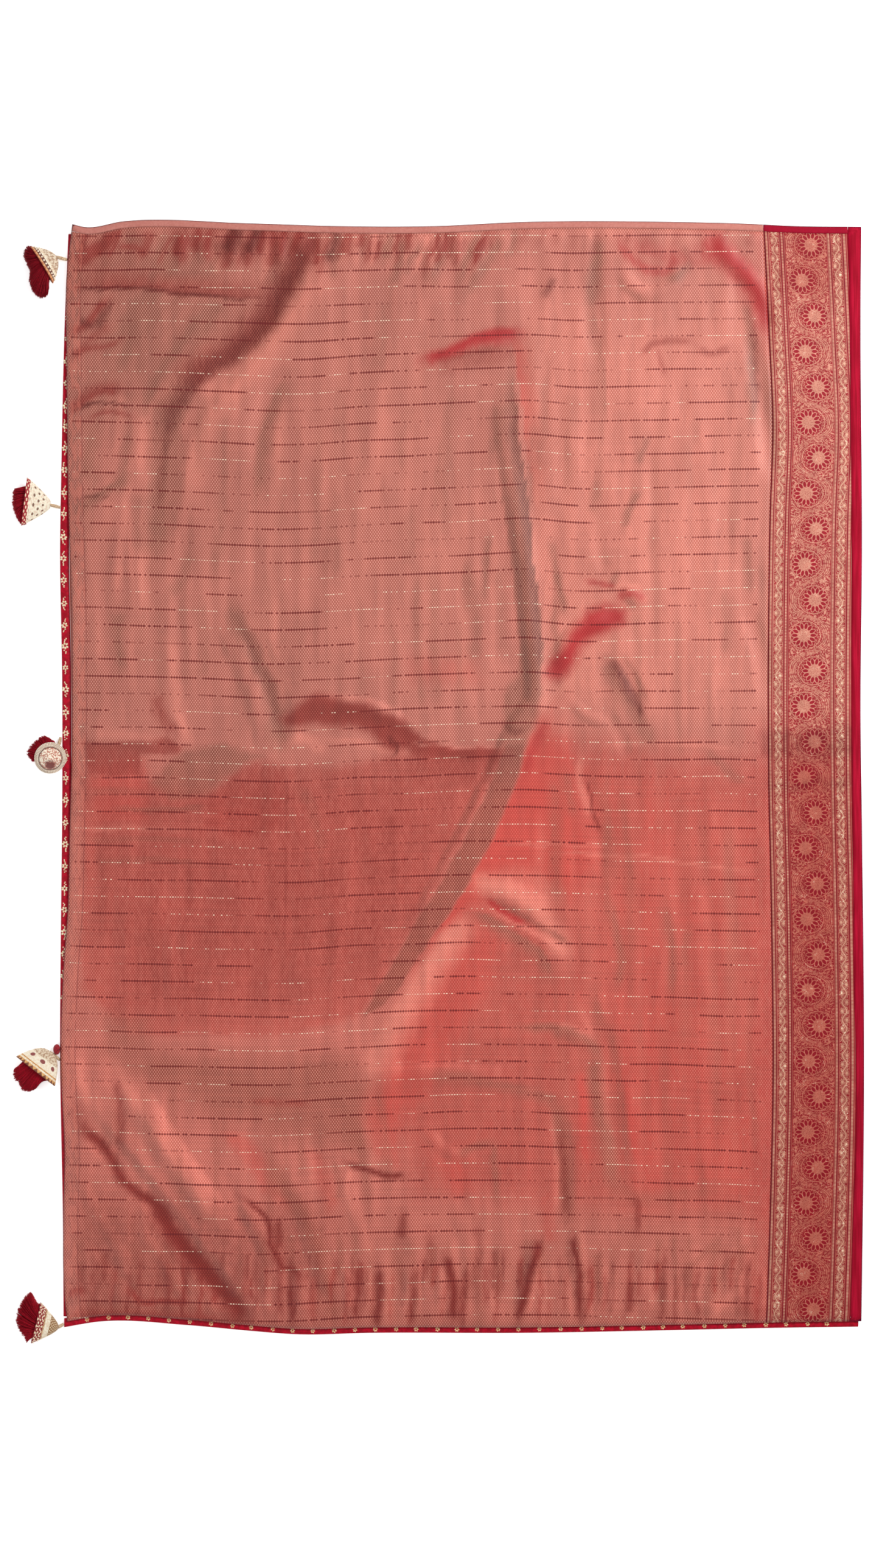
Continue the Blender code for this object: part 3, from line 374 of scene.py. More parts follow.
    ("russet_shade", ((-306, -466), (-262, -470), (-220, -474)), 7, 7, 0.5),
    ("highlight", ((-505, -404), (-474, -460), (-446, -507), (-417, -550), (-391, -587), (-366, -620),
              (-340, -650)), 13, 14, 1.0),
    ("shade", ((-500, -430), (-493, -470), (-492, -510), (-496, -540)), 9, 8, 0.6),
    ("highlight", ((-552, -400), (-547, -440), (-536, -476)), 10, 10, 0.8),
    ("shade", ((-556, -478), (-544, -507), (-523, -525), (-506, -550), (-488, -580), (-461, -601),
               (-433, -623), (-417, -652), (-395, -682), (-366, -711), (-337, -744), (-300, -785)),
     11, 12, 1.0),
    ("shade", ((-450, -604), (-425, -645), (-395, -690), (-360, -725), (-330, -760), (-306, -790)),
     17, 20, 1.0),
    ("shade", ((-322, -602), (-293, -623), (-278, -645), (-273, -678), (-260, -704), (-242, -714),
               (-228, -724)), 5, 6, 1.0),
    # The lower end
    ("beige_shade", ((-284, -540), (-256, -594), (-223, -642), (-202, -689), (-187, -755), (-180, -796)),
     17, 18, 1.0),
    ("shade", ((-170, -554), (-136, -567), (-107, -574), (-78, -579)), 7, 6, 1.0),
    ("beige_shade", ((-186, -548), (-178, -580), (-176, -610)), 6, 7, 0.7),
    ("highlight", ((-158, -560), (-165, -594), (-160, -630)), 6, 5, 0.8),
    ("shade", ((-264, -640), (-263, -660), (-266, -684)), 8, 8, 0.8),
    ("shade", ((-246, -736), (-243, -760), (-244, -792)), 8, 8, 0.95),
    ("shade", ((-150, -700), (-149, -740), (-152, -790)), 8, 9, 0.8),
    ("shade", ((-120, -710), (-117, -750), (-120, -792)), 9, 9, 0.8),
    ("shade", ((-86, -626), (-85, -645), (-88, -668)), 9, 9, 0.7),
    ("shade", ((-24, -686), (-13, -730), (-10, -790)), 10, 10, 1.0),
    ("shade", ((114, -664), (106, -699), (92, -743), (80, -792)), 9, 9, 1.0),
    ("shade", ((160, -656), (169, -705), (171, -792)), 7, 7, 1.0),
    ("shade", ((252, -600), (255, -630), (254, -660)), 7, 7, 0.7),
    ("shade", ((241, -726), (242, -750), (240, -776)), 8, 8, 0.7),
    ("shade", ((-48, -650), (-46, -690), (-52, -730)), 9, 8, 0.4),
    ("shade", ((20, -640), (24, -690), (18, -740)), 8, 9, 0.36),
    ("beige_shade", ((104, -664), (100, -690), (86, -740)), 4, 10, 0.8),
    ("beige_shade", ((319, -726), (345, -690), (370, -668)), 8, 9, 0.7),
    ("beige_shade", ((354, -742), (389, -699), (418, -672)), 8, 9, 0.7),
    ("highlight", ((352, -790), (395, -746), (436, -720)), 9, 9, 0.5),
    ("russet_shade", ((-482, -736), (-461, -754), (-430, -757), (-392, -755)), 5, 6, 0.95),
    ("russet_shade", ((-566, -776), (-480, -780), (-400, -782), (-320, -790)), 14, 8, 0.75),
    ("russet_shade", ((-570, -744), (-556, -741), (-545, -744)), 6, 6, 0.9),
    # The upper right corner and the border's troughs
    ("crimson_sheen", ((360, 790), (376, 762), (400, 735), (424, 706), (440, 670), (446, 630)), 20, 26, 1.0),
    ("crimson_sheen", ((236, 772), (290, 752), (340, 748), (380, 756)), 22, 16, 0.35),
    ("crimson_sheen", ((229, 776), (241, 749), (271, 730), (298, 732), (309, 757)), 9, 9, 0.6),
    ("beige_shade", ((318, 772), (326, 745), (318, 726), (300, 716)), 9, 9, 0.8),
    ("russet_shade", ((262, 612), (275, 627), (300, 630), (335, 628)), 6, 7, 0.6),
    ("russet_shade", ((340, 622), (362, 612), (392, 620)), 6, 8, 0.5),
    ("russet_shade", ((284, 622), (288, 600), (296, 578)), 6, 6, 0.5),
    ("beige_shade", ((410, 690), (415, 660), (420, 600), (421, 550), (419, 500)), 9, 11, 0.9),
    ("shade", ((420, 655), (426, 600), (427, 540)), 6, 6, 0.4),
    ("beige_shade", ((410, 350), (415, 310), (413, 262)), 10, 10, 0.55),
)]
PATCHES = [Patch(*row) for row in (
    # The upper part
    ("beige_shade", ((-560, 790), (-330, 790), (-330, 700), (-420, 570), (-560, 480)), 60, 0.65),
    ("russet_shade", ((-570, 800), (-440, 800), (-480, 720), (-570, 690)), 30, 0.2),
    ("russet_shade", ((-420, 802), (-190, 802), (-215, 752), (-320, 740), (-420, 758)), 12, 0.4),
    ("beige_shade", ((-300, 690), (50, 700), (60, 300), (-200, 120), (-520, 120), (-540, 420)), 110, 0.16),
    ("highlight", ((110, 700), (430, 660), (430, 90), (130, 90)), 60, 0.5),
    ("highlight", ((-200, 470), (-60, 500), (60, 440), (60, 110), (-200, 110)), 70, 0.2),
    # The waist, the elbow and the diagonal band
    ("russet_shade", ((-262, 86), (-235, 108), (-209, 120), (-136, 106), (-85, 84), (-58, 58), (-70, 40),
                (-100, 38), (-130, 62), (-160, 74), (-209, 76), (-253, 72)), 9, 0.95),
    ("crimson_sheen", ((122, 150), (128, 170), (146, 186), (160, 210), (180, 236), (206, 248), (236, 240),
                 (240, 222), (216, 212), (190, 202), (172, 188), (164, 166), (154, 148), (136, 140)),
     12, 1.0),
    ("crimson_sheen", ((181, 284), (220, 280), (222, 272), (184, 275)), 4, 0.7),
    ("beige_shade", ((89, 190), (111, 200), (115, 121), (106, 79), (93, 43), (64, 43), (62, 79), (62, 120),
               (84, 145)), 7, 0.85),
    ("beige_shade", DIAGONAL_BAND, 3, 1.0),
    ("shade", DIAGONAL_BAND, 3, 0.16),
    # The lower right
    ("coral_sheen", ((116, 78), (152, 40), (176, -40), (190, -120), (160, -178), (96, -160), (38, -150),
               (20, -140), (52, -86), (84, -20)), 26, 0.9),
    ("coral_sheen", ((150, 50), (320, -20), (380, -200), (330, -420), (240, -480), (190, -330), (200, -160)),
     60, 0.32),
    ("coral_sheen", ((-40, -255), (20, -200), (60, -240), (20, -330), (-30, -420), (-100, -520), (-140, -500),
               (-110, -380)), 22, 0.6),
    # The lower left
    ("russet_shade", ((-546, 51), (-450, 52), (-424, 57), (-402, 42), (-410, 33), (-461, 33), (-464, 2),
                (-504, 2), (-538, 6)), 4, 0.75),
    ("coral_sheen", ((-540, 20), (-455, 25), (-455, -60), (-520, -62)), 12, 0.5),
    ("beige_shade", ((-404, 39), (-344, 48), (-286, 30), (-315, 17), (-351, -9), (-366, -27), (-417, -34),
               (-450, -9)), 8, 0.85),
    ("russet_shade", ((-366, -27), (-315, 16), (-278, 26), (-254, 16), (-254, -71), (-315, -92), (-366, -71)),
     7, 0.42),
    ("blush_sheen", ((-548, 6), (-460, 0), (-366, -27), (-315, 16), (-253, 14), (-180, 14), (-60, 38), (64, 41),
               (42, -8), (-5, -100), (-55, -190), (-100, -270), (-145, -345), (-240, -372), (-480, -372),
               (-548, -300)), 9, 0.55),
    ("shade", ((-540, -20), (-300, 0), (-60, 20), (30, 10), (-60, -180), (-150, -330), (-500, -340)),
     40, 0.26),
    ("beige_shade", ((-520, -340), (-450, -345), (-450, -400), (-515, -395)), 14, 0.6),
    # The whole lower right and the lower end
    ("blush_sheen", ((112, 60), (440, 20), (440, -640), (-60, -600), (-120, -440), (-50, -245), (60, -60)),
     40, 0.62),
    ("coral_sheen", ((230, -380), (440, -380), (440, -600), (260, -620), (220, -500)), 50, 0.3),
    ("beige_shade", ((-560, -620), (440, -620), (440, -795), (-560, -795)), 24, 0.2),
    ("shade", ((-560, -600), (-200, -620), (-180, -795), (-560, -795)), 50, 0.25),
    ("beige_shade", ((-520, -395), (-330, -400), (-180, -400), (-130, -440), (-140, -540), (-240, -520),
               (-330, -500), (-480, -430)), 30, 0.8),
    ("coral_sheen", ((-76, 172), (20, 170), (26, 136), (-70, 138)), 16, 0.4),
    ("coral_sheen", ((-347, -514), (-300, -572), (-285, -598), (-249, -625), (-240, -623), (-264, -580),
               (-282, -547), (-315, -514)), 10, 0.5),
    ("coral_sheen", ((-223, -539), (-202, -543), (-180, -612), (-191, -625), (-212, -587)), 10, 0.5),
    ("coral_sheen", ((-150, -455), (-136, -528), (-121, -547), (-90, -563), (-96, -499), (-99, -455),
               (-132, -420)), 10, 0.5),
    ("coral_sheen", ((-32, -552), (8, -546), (14, -595), (-10, -604)), 10, 0.5),
    ("coral_sheen", ((116, -608), (126, -600), (138, -668), (118, -672)), 10, 0.5),
    ("beige_shade", ((-565, -560), (-480, -610), (-380, -720), (-330, -785), (-560, -785)), 30, 0.4),
    # The border
    ("crimson_sheen", ((446, 60), (580, 60), (580, -800), (446, -800)), 60, 0.8),
    ("shade", ((430, 66), (590, 70), (590, 24), (430, 30)), 12, 0.3),
    ("shade", ((440, -4), (590, -2), (590, -16), (440, -18)), 7, 0.25),
    ("crimson_sheen", ((440, 800), (590, 800), (590, 690), (440, 690)), 40, 0.55),
)]

# Rows of short streaks of painted shade and painted highlight beside the gathers: the first and last place
# along
# X, their number, where each starts, its length, slant and width
GatherStreaks = namedtuple("GatherStreaks", "first_x last_x count start_y length slant width tone strength")
GATHER_STREAKS = [GatherStreaks(*row) for row in (
    (-545, 60, 24, 796, 60, -22, 6, "russet_shade", 0.8),
    (-408, -200, 13, 798, 56, -14, 7, "russet_shade", 1.6),
    (-190, 40, 9, 798, 60, -24, 6, "russet_shade", 1.1),
    (-390, -40, 12, 794, 70, -22, 5, "highlight", 0.8),
    (-535, 70, 20, 792, 84, -36, 9, "beige_shade", 0.75),
    (80, 420, 12, 796, 40, -14, 8, "russet_shade", 0.3),
    (-540, 420, 24, 590, 250, -16, 10, "beige_shade", 0.38),
    (-540, 420, 28, 330, 290, 8, 10, "beige_shade", 0.42),
    (-530, 430, 26, 440, 320, 6, 9, "highlight", 0.45),
    (-530, -60, 14, 640, 300, -30, 12, "highlight", 0.45),
    (120, 430, 13, 40, 300, 18, 11, "beige_shade", 0.36),
    (110, 440, 13, -240, 330, 12, 10, "beige_shade", 0.34),
    (110, 440, 11, -60, 360, 14, 12, "highlight", 0.18),
    (-520, -60, 12, -40, 300, 4, 12, "shade", 0.16),
    (-520, -120, 12, -400, 220, 24, 10, "beige_shade", 0.5),
    (-510, -120, 10, -420, 220, 24, 9, "highlight", 0.4),
    (-550, 440, 46, -676, 112, -6, 6, "shade", 0.55),
    (-550, 440, 40, -690, 90, -4, 5, "russet_shade", 0.7),
    (-545, 445, 44, -640, 130, 4, 9, "beige_shade", 0.7),
    (-540, 440, 40, -664, 120, 4, 7, "highlight", 0.5),
)]

# Painted light and shade by the slopes: the light's share along X and Y, the most it does, and how far in
# from the edge it starts. Slopes turned to the key lamp are painted brighter and paler, slopes turned away
# darker and browner.
LIGHT_FROM = (0.8, 0.6)
LIT_MOST = 0.35
LIT_FROM_EDGE = 12
LIT_RANGE = (0.01, 0.2)
HIGHLIGHT_BY_SLOPE = 0.4
BEIGE_SHADE_BY_SLOPE = 0.5

# The weave: the pitch of its dots across, of its rows, and of the dashed lines
DOT_PITCH = 3.8
DASH_PITCH = 24.4
ROWS_PER_DASH = 9
ROW_PITCH = DASH_PITCH / ROWS_PER_DASH
DASH_START_GAP = 7.0
DASH_END_GAP = 16.0
LEFT_HEM = 22.0

# How far the cross threads rise as they go to the right, at the upper and the lower part, where along Y the
# one takes over from the other, and where they lie calmer again
THREAD_RISE_HIGH = ((-575, 2), (-400, -2), (-255, -8), (-100, -1), (60, 6), (90, 7), (170, 1), (260, 2),
                    (445, 6))
THREAD_RISE_LOW = ((-575, 1), (-400, -2), (-270, -5), (-150, 1), (40, 5), (150, 4), (300, 0), (445, -4))
HIGH_RISE_START = -320
HIGH_RISE_SPAN = 700
CALM_START = 560
CALM_SPAN = 160
CALM_SHARE = 0.7

# The woven border, measured from its seam. Its fine lines run from one distance to another, a row of bars
# has its middle, width, pitch and start, and a band of scrolling stems its two sides and its start.
GOLD_LINES = ((6.5, 6.9), (28.6, 29.1), (90.3, 90.8), (118.9, 119.5))
DARK_LINES = ((0.5, 1.2), (5.7, 6.2), (22.4, 23.0), (27.7, 28.2), (91.0, 91.3), (95.2, 95.8),
              (112.4, 113.0))
LADDERS = ((3.4, 3.3, 2.0, 0.0), (25.4, 2.9, 2.2, 0.7), (93.0, 3.0, 2.0, 0.4), (115.7, 3.6, 2.0, 0.0))
SCROLLS = ((7.4, 22.0, 0.0), (96.4, 111.8, 11.0))
MEDALLIONS_START = 29.2
MEDALLIONS_END = 90.2
MEDALLION_PITCH = 51.2
MEDALLION_SWAY = 7.8
RIM_ACROSS = 22.2
RIM_ALONG = 20.6
RIM_SHIFT = 2.2
DISC_RADIUS = 9.0
PETALS = 14
PETAL_CENTRE = 13.4
PETAL_HALF_LENGTH = 4.1
PETAL_HALF_WIDTH = 2.25

# Tassels on the left side. apex and mouth are the two ends of the cone's axis, and anchor is where the neck
# is sewn on. across and high are half the mouth's width and height, and a small swell makes a full dome.
# tips outlines the cut ends of the threads, from one end of the mouth to the other.
Tassel = namedtuple("Tassel", "anchor apex mouth across high swell tips threads")
TASSELS = {
    "tassel_1": Tassel((-570.4, 748.0, 2.2), (-585.0, 751.5, 6.5), (-605.5, 738.8, 11.2), 31.5, 9.6, 0.62,
                       ((-620, 767), (-628, 767), (-633, 757), (-632, 748), (-625, 731), (-625, 711),
                        (-618, 696), (-608, 690), (-599, 693), (-596, 706)), 1100),
    "tassel_2": Tassel((-580.0, 390.0, 2.2), (-594.0, 393.4, 6.5), (-631.0, 397.8, 11.2), 34.5, 9.6, 0.8,
                       ((-639, 417), (-647, 415), (-649, 401), (-648, 388), (-645, 378), (-640, 370),
                        (-635, 364), (-628, 365)), 900),
    "tassel_3": Tassel((-579.3, 57.0, 2.2), (-591.1, 25.1, 24.8), (-593.5, 28.0, 7.2), 23.0, 22.5, 0.75,
                       ((-588, 53), (-604, 61), (-618, 52), (-629, 36), (-621, 23)), 700),
    "tassel_4": Tassel((-580.7, -408.0, 2.2), (-593.5, -397.0, 6.5), (-614.6, -424.4, 11.2),
                       34.5, 9.6, 0.52,
                       ((-640, -417), (-647, -423), (-646, -436), (-640, -443), (-638, -450),
                        (-627, -455), (-616, -451), (-610, -443), (-606, -436)), 1000),
    "tassel_5": Tassel((-575.4, -790.4, 2.6), (-582.5, -794.3, 6.5), (-613.8, -787.0, 11.2),
                       30.5, 9.6, 0.82,
                       ((-608, -760), (-614, -757), (-624, -741), (-634, -753), (-639, -761),
                        (-643, -772), (-644, -785), (-638, -800), (-631, -810), (-629, -817)), 1000),
}
STANDING_TASSEL = "tassel_3"
STANDING_HEAD = (-591.5, 30.0, 6.6)
STANDING_ACROSS = 13.0
STANDING_HIGH = 3.8
STANDING_NECK_END = (-582.6, 41.6, 6.6)
CONE_SIDES = 48
CONE_RINGS = 22
CONE_CLOTH = 1.0
CONE_INSET = 0.1
CONE_GATHERS = 9
CONE_DENT = 0.7
BALL_SEGMENTS = 8
BEAD_CENTRE = (-584.3, -393.0, 5.4)
BEAD_RADII = (5.1, 7.6, 5.0)
BEAD_LOOPS = 26
BEAD_LOOP_STATIONS = 25
BEAD_THREAD_RADIUS = 0.62
NECK_STATIONS = 34
NECK_TURNS = 2.6
STRANDS = 3
STRAND_RADIUS = 1.15
STRAND_SWAY = 0.95
HEAD_ACROSS_SHARE = 0.66
ROOT_DEPTH = 4
MOUTH_REACH = 8
THREAD_RADIUS = 0.42
THREAD_STATIONS = 6
THREAD_SIDES = 3
THREAD_CLUMPS = 46

# Colours as they look on a screen: the plain cloth, then each of TONES, whose colours are painted sheen and
# shade
SILK_GROUND = ((160, 84, 71), (148, 52, 44), (176, 62, 54), (200, 108, 92), (114, 56, 42), (118, 34, 28),
               (152, 30, 32), (70, 12, 10))
SILK_THREAD = ((226, 154, 139), (202, 104, 90), (212, 102, 90), (240, 168, 150), (210, 150, 132),
               (176, 86, 74), (186, 68, 66), (130, 58, 48))
BORDER_GROUND = ((164, 28, 42), (148, 20, 32), (150, 24, 34), (182, 48, 54), (140, 44, 42), (128, 20, 28),
                 (142, 10, 26), (90, 14, 18))
BORDER_THREAD = ((228, 156, 132), (208, 128, 104), (206, 114, 94), (240, 184, 156), (210, 158, 130),
                 (192, 106, 88), (196, 96, 78), (150, 74, 60))

# Camera and light
FRAME_HEIGHT = 2.2669
SENSOR = 36.0
CAMERA_PLACE = (-0.0343, -0.0097, 5.0)
LAMPS = (("key", (1.9, 1.5, 2.4), 0.9, 96.0), ("fill", (-2.6, -1.2, 2.6), 2.4, 34.0))
SKY_STRENGTH = 0.5
FLOOR_SIZE = 14.0
FLOOR_HEIGHT = -0.0004
FLOOR_GLOW = 0.5
WHITE = (1.0, 1.0, 1.0, 1.0)
PAPER = (0.93, 0.93, 0.93, 1.0)


def along(table, place):
    """Reads a smooth curve through a table of (place, value) rows."""
    places, values = np.array(table, float).T
    slopes = np.gradient(values, places)
    row = np.clip(np.searchsorted(places, place) - 1, 0, len(places) - 2)
    span = places[row + 1] - places[row]
    t = np.clip((place - places[row]) / span, 0.0, 1.0)
    start = values[row] * (1 + 2 * t) * (1 - t) ** 2 + slopes[row] * span * t * (1 - t) ** 2
    end = values[row + 1] * t**2 * (3 - 2 * t) - slopes[row + 1] * span * t**2 * (1 - t)
    return start + end


def smooth_step(t):
    t = np.clip(t, 0.0, 1.0)
    return t * t * (3 - 2 * t)


def curve_points(path, count):
    """Evenly numbered points on a smooth curve through the path's own points."""
    path = np.array(path, float)
    knots = np.arange(len(path))
    at = np.linspace(0, len(path) - 1, count)
    return np.stack([along(np.stack([knots, values], 1), at) for values in path.T], 1)


def wander(x, y, size_x, size_y, seed):
    """Smooth uneven values from -1 to 1, in lumps of the given sizes."""
    lattice = np.random.default_rng(seed).uniform(-1, 1, (LATTICE, LATTICE))
    cell_x = np.floor(x / size_x).astype(int)
    cell_y = np.floor(y / size_y).astype(int)
    share_x = smooth_step(x / size_x - cell_x)
    share_y = smooth_step(y / size_y - cell_y)
    south = cell_y % LATTICE
    north = (cell_y + 1) % LATTICE
    west, east = [lattice[south, column] * (1 - share_y) + lattice[north, column] * share_y
                  for column in (cell_x % LATTICE, (cell_x + 1) % LATTICE)]
    return west * (1 - share_x) + east * share_x


def ripples(rows, x, y):
    """Several wanders added, each with its height, its two sizes and its seed."""
    return sum(height * wander(x, y, *row) for height, *row in rows)


def path_place(path, x, y):
    """For each point, how far to the left of the path it lies, and its share of the way along it."""
    points = curve_points(path, 6 * len(path))
    nearest = np.full(x.shape, np.inf)
    offset = np.zeros(x.shape)
    share = np.zeros(x.shape)
    for index, (start, end) in enumerate(zip(points[:-1], points[1:])):
        step = end - start
        length = math.hypot(*step)
        t = np.clip(((x - start[0]) * step[0] + (y - start[1]) * step[1]) / length**2, 0, 1)
        gap_x = x - start[0] - t * step[0]
        gap_y = y - start[1] - t * step[1]
        distance = np.hypot(gap_x, gap_y)
        closer = distance < nearest
        side = np.sign(step[0] * gap_y - step[1] * gap_x)
        nearest = np.where(closer, distance, nearest)
        offset = np.where(closer, distance * side, offset)
        share = np.where(closer, (index + t) / (len(points) - 1), share)
    return offset, share


def near_path(path, reach, x, y):
    """Marks the points close enough to the path to feel it."""
    low = np.min(path, axis=0) - reach
    high = np.max(path, axis=0) + reach
    return (x > low[0]) & (x < high[0]) & (y > low[1]) & (y < high[1])


def add_fold(relief, fold, x, y):
    """Adds the height of one fold to the relief."""
    half_width = FOLD_SPREAD * fold.half_width
    near = near_path(fold.path, 1.3 * half_width, x, y)
    if not near.any():
        return
    offset, share = path_place(fold.path, x[near], y[near])
    across = np.clip(offset / half_width, -1, 1)
    across = across - fold.lean * (1 - across**2)
    ends = smooth_step(share / FOLD_END) * smooth_step((1 - share) / FOLD_END)
    relief[near] += FOLD_RISE * fold.height * (1 - across**2) ** 2 * ends


def gather_folds(gathers):
    """Each gather as a fold of its own, uneven in length and height by a fixed rule."""
    folds = []
    for row, gather in enumerate(gathers):
        for index, x in enumerate(np.linspace(gather.first_x, gather.last_x, gather.count)):
            uneven = 0.75 + 0.25 * math.sin(2.3 * index + row)
            x = x + 5 * math.sin(1.7 * index + 2 * row)
            end_y = gather.start_y - gather.length * uneven
            slant = 6 * math.sin(index + row)
            path = ((x, gather.start_y), (x + slant / 2, (gather.start_y + end_y) / 2), (x + slant, end_y))
            folds.append(Fold("gather", path, gather.half_width, gather.height * uneven, 0.0))
    return folds


ALL_FOLDS = (*FOLDS, *gather_folds(GATHERS), *FINE_FOLDS, *gather_folds(FINE_GATHERS))


def edge_distance(x, y):
    """How far each point lies in from the edge of the top stretch."""
    bottom = along(BOTTOM_EDGE, x) + BOTTOM_BINDING_SHOWS
    sides = (x - along(LEFT_EDGE, y), along(RIGHT_EDGE, y) - x, along(TOP_EDGE, x) - y, y - bottom)
    return np.maximum(np.minimum.reduce(sides), 0.0)


def top_height(x, y):
    """The upper face of the top stretch at each point."""
    relief = LOFT + ripples(LOFT_WAVES, x, y)
    for fold in ALL_FOLDS:
        add_fold(relief, fold, x, y)
    relief = np.clip((relief + np.sqrt(relief**2 + 1.0)) / 2, 0.0, RELIEF_MOST)
    inside = edge_distance(x, y)
    loft_share = EDGE_LOFT_SHARE + (1 - EDGE_LOFT_SHARE) * smooth_step(inside / EDGE_LOFT_REACH)
    lower = TOP_REST - EDGE_DROOP * (1 - smooth_step(inside / DROOP_REACH)) + relief * loft_share
    return lower + CLOTH_WALL


def streak_profile(streak, x, y):
    """How strongly a streak shows at each point."""
    profile = np.zeros(x.shape)
    near = near_path(streak.path, 1.2 * STREAK_SPREAD * max(streak.left, streak.right), x, y)
    if near.any():
        offset, share = path_place(streak.path, x[near], y[near])
        width = STREAK_SPREAD * np.where(offset > 0, streak.left, streak.right)
        ends = smooth_step(share / STREAK_END) * smooth_step((1 - share) / STREAK_END)
        faded = STREAK_END_STRENGTH + (1 - STREAK_END_STRENGTH) * ends
        profile[near] = smooth_step(1 - np.abs(offset) / width) * faded * streak.strength
    return profile


def patch_profile(patch, x, y):
    """How strongly a patch shows at each point."""
    corners = np.array(patch.corners, float)
    distance = np.full(x.shape, np.inf)
    inside = np.zeros(x.shape, bool)
    for start, end in zip(corners, np.roll(corners, -1, axis=0)):
        step = end - start
        t = np.clip(((x - start[0]) * step[0] + (y - start[1]) * step[1]) / (step @ step), 0, 1)
        distance = np.minimum(distance, np.hypot(x - start[0] - t * step[0], y - start[1] - t * step[1]))
        crosses = (start[1] > y) != (end[1] > y)
        if step[1]:
            inside ^= crosses & (x < start[0] + (y - start[1]) * step[0] / step[1])
    signed = np.where(inside, distance, -distance)
    return smooth_step(0.5 + 0.5 * signed / patch.softness) * patch.strength


def gather_streaks():
    """Each short streak of a gather as a streak of its own, uneven by a fixed rule."""
    streaks = []
    for row, gather in enumerate(GATHER_STREAKS):
        rng = np.random.default_rng(50 + row)
        places = np.linspace(gather.first_x, gather.last_x, gather.count)
        for x in places + rng.uniform(-0.45, 0.45, gather.count) * (places[1] - places[0]):
            start_y = gather.start_y - rng.uniform(0, 0.35) * gather.length
            length = gather.length * rng.uniform(0.35, 1.0)
            slant = gather.slant * rng.uniform(0.3, 1.3) * length / gather.length
            bow = rng.uniform(-4, 4)
            middle = (x + slant / 2 + bow, start_y - length / 2)
            path = ((x, start_y), middle, (x + slant, start_y - length))
            widths = gather.width * rng.uniform(0.5, 1.3, 2)
            strength = gather.strength * rng.uniform(0.4, 1.2)
            streaks.append(Streak(gather.tone, path, *widths, strength))
    return streaks


def height_and_slopes(x, y):
    """The cloth's height, and how steeply it rises to the right and upwards."""
    here = top_height(x, y)
    return (here, (top_height(x + SLOPE_STEP, y) - here) / SLOPE_STEP,
            (top_height(x, y + SLOPE_STEP) - here) / SLOPE_STEP)


def tone_values(x, y, slope_x, slope_y):
    """Each tone's strength at each point, from no effect at 0 to full at 1, and lit, the painted light of
    the slopes.
    """
    bent_x = x + ripples(TONE_WAVES_X, x, y)
    bent_y = y + ripples(TONE_WAVES_Y, x, y)
    kept = {tone: np.ones(x.shape) for tone in TONES}
    for streak in (*STREAKS, *gather_streaks()):
        kept[streak.tone] *= 1 - np.minimum(streak_profile(streak, bent_x, bent_y), 1.0)
    for patch in PATCHES:
        kept[patch.tone] *= 1 - patch_profile(patch, bent_x, bent_y)
    calm = patch_profile(Patch("beige_shade", DIAGONAL_BAND, 8, 1.0), bent_x, bent_y)
    # Painted light: lit is positive on slopes turned to the key lamp and negative on those turned away.
    lit = -(LIGHT_FROM[0] * slope_x + LIGHT_FROM[1] * slope_y)
    lit = lit * smooth_step(edge_distance(x, y) / LIT_FROM_EDGE) * (1 - calm)
    lit = np.clip(lit, -LIT_MOST, LIT_MOST)
    free = kept["crimson_sheen"] * kept["russet_shade"] * kept["shade"]
    low, span = LIT_RANGE
    kept["highlight"] *= 1 - HIGHLIGHT_BY_SLOPE * smooth_step((lit - low) / span) * free
    kept["beige_shade"] *= 1 - BEIGE_SHADE_BY_SLOPE * smooth_step((-lit - low) / span) * free
    return {"lit": lit, **{tone: 1 - left for tone, left in kept.items()}}


def thread_rise(x, y):
    """How far the cross threads stray from level, so that the dashed lines wave as the cloth lies."""
    high = along(THREAD_RISE_HIGH, x)
    low = along(THREAD_RISE_LOW, x)
    share = smooth_step((y - HIGH_RISE_START) / HIGH_RISE_SPAN)
    calm = 1 - CALM_SHARE * smooth_step((y - CALM_START) / CALM_SPAN)
    return (high * share + low * (1 - share)) * calm + ripples(THREAD_WAVES, x, y)


def deselect():
    bpy.ops.object.select_all(action="DESELECT")


def select_only(obj):
    deselect()
    bpy.context.view_layer.objects.active = obj
    obj.select_set(True)


def outwards(obj, merge=None):
    """Turns every face of a mesh to the outside, once points closer than merge are made one."""
    select_only(obj)
    bpy.ops.object.mode_set(mode="EDIT")
    bpy.ops.mesh.select_all(action="SELECT")
    if merge:
        bpy.ops.mesh.remove_doubles(threshold=merge * MM)
    bpy.ops.mesh.normals_make_consistent(inside=False)
    bpy.ops.object.mode_set(mode="OBJECT")
    deselect()


def new_grid(name, columns, rows):
    """A flat grid one unit wide, and the share of each of its points across and up."""
    deselect()
    bpy.ops.mesh.primitive_grid_add(x_subdivisions=columns, y_subdivisions=rows, size=1.0)
    obj = bpy.context.object
    obj.name = name
    obj.data.name = name
    flat = np.empty(3 * len(obj.data.vertices))
    obj.data.vertices.foreach_get("co", flat)
    across, up, _ = flat.reshape(-1, 3).T
    return obj, across + 0.5, up + 0.5


def place_points(obj, points):
    """Gives a mesh its points in millimetres."""
    obj.data.vertices.foreach_set("co", (np.asarray(points) * MM).ravel())
    obj.data.update()


def store(obj, name, values):
    """Keeps one number or one vector for each point of a mesh."""
    values = np.asarray(values, np.float32)
    if values.ndim == 1:
        attribute = obj.data.attributes.new(name, "FLOAT", "POINT")
        attribute.data.foreach_set("value", values)
    else:
        attribute = obj.data.attributes.new(name, "FLOAT_VECTOR", "POINT")
        attribute.data.foreach_set("vector", values.ravel())


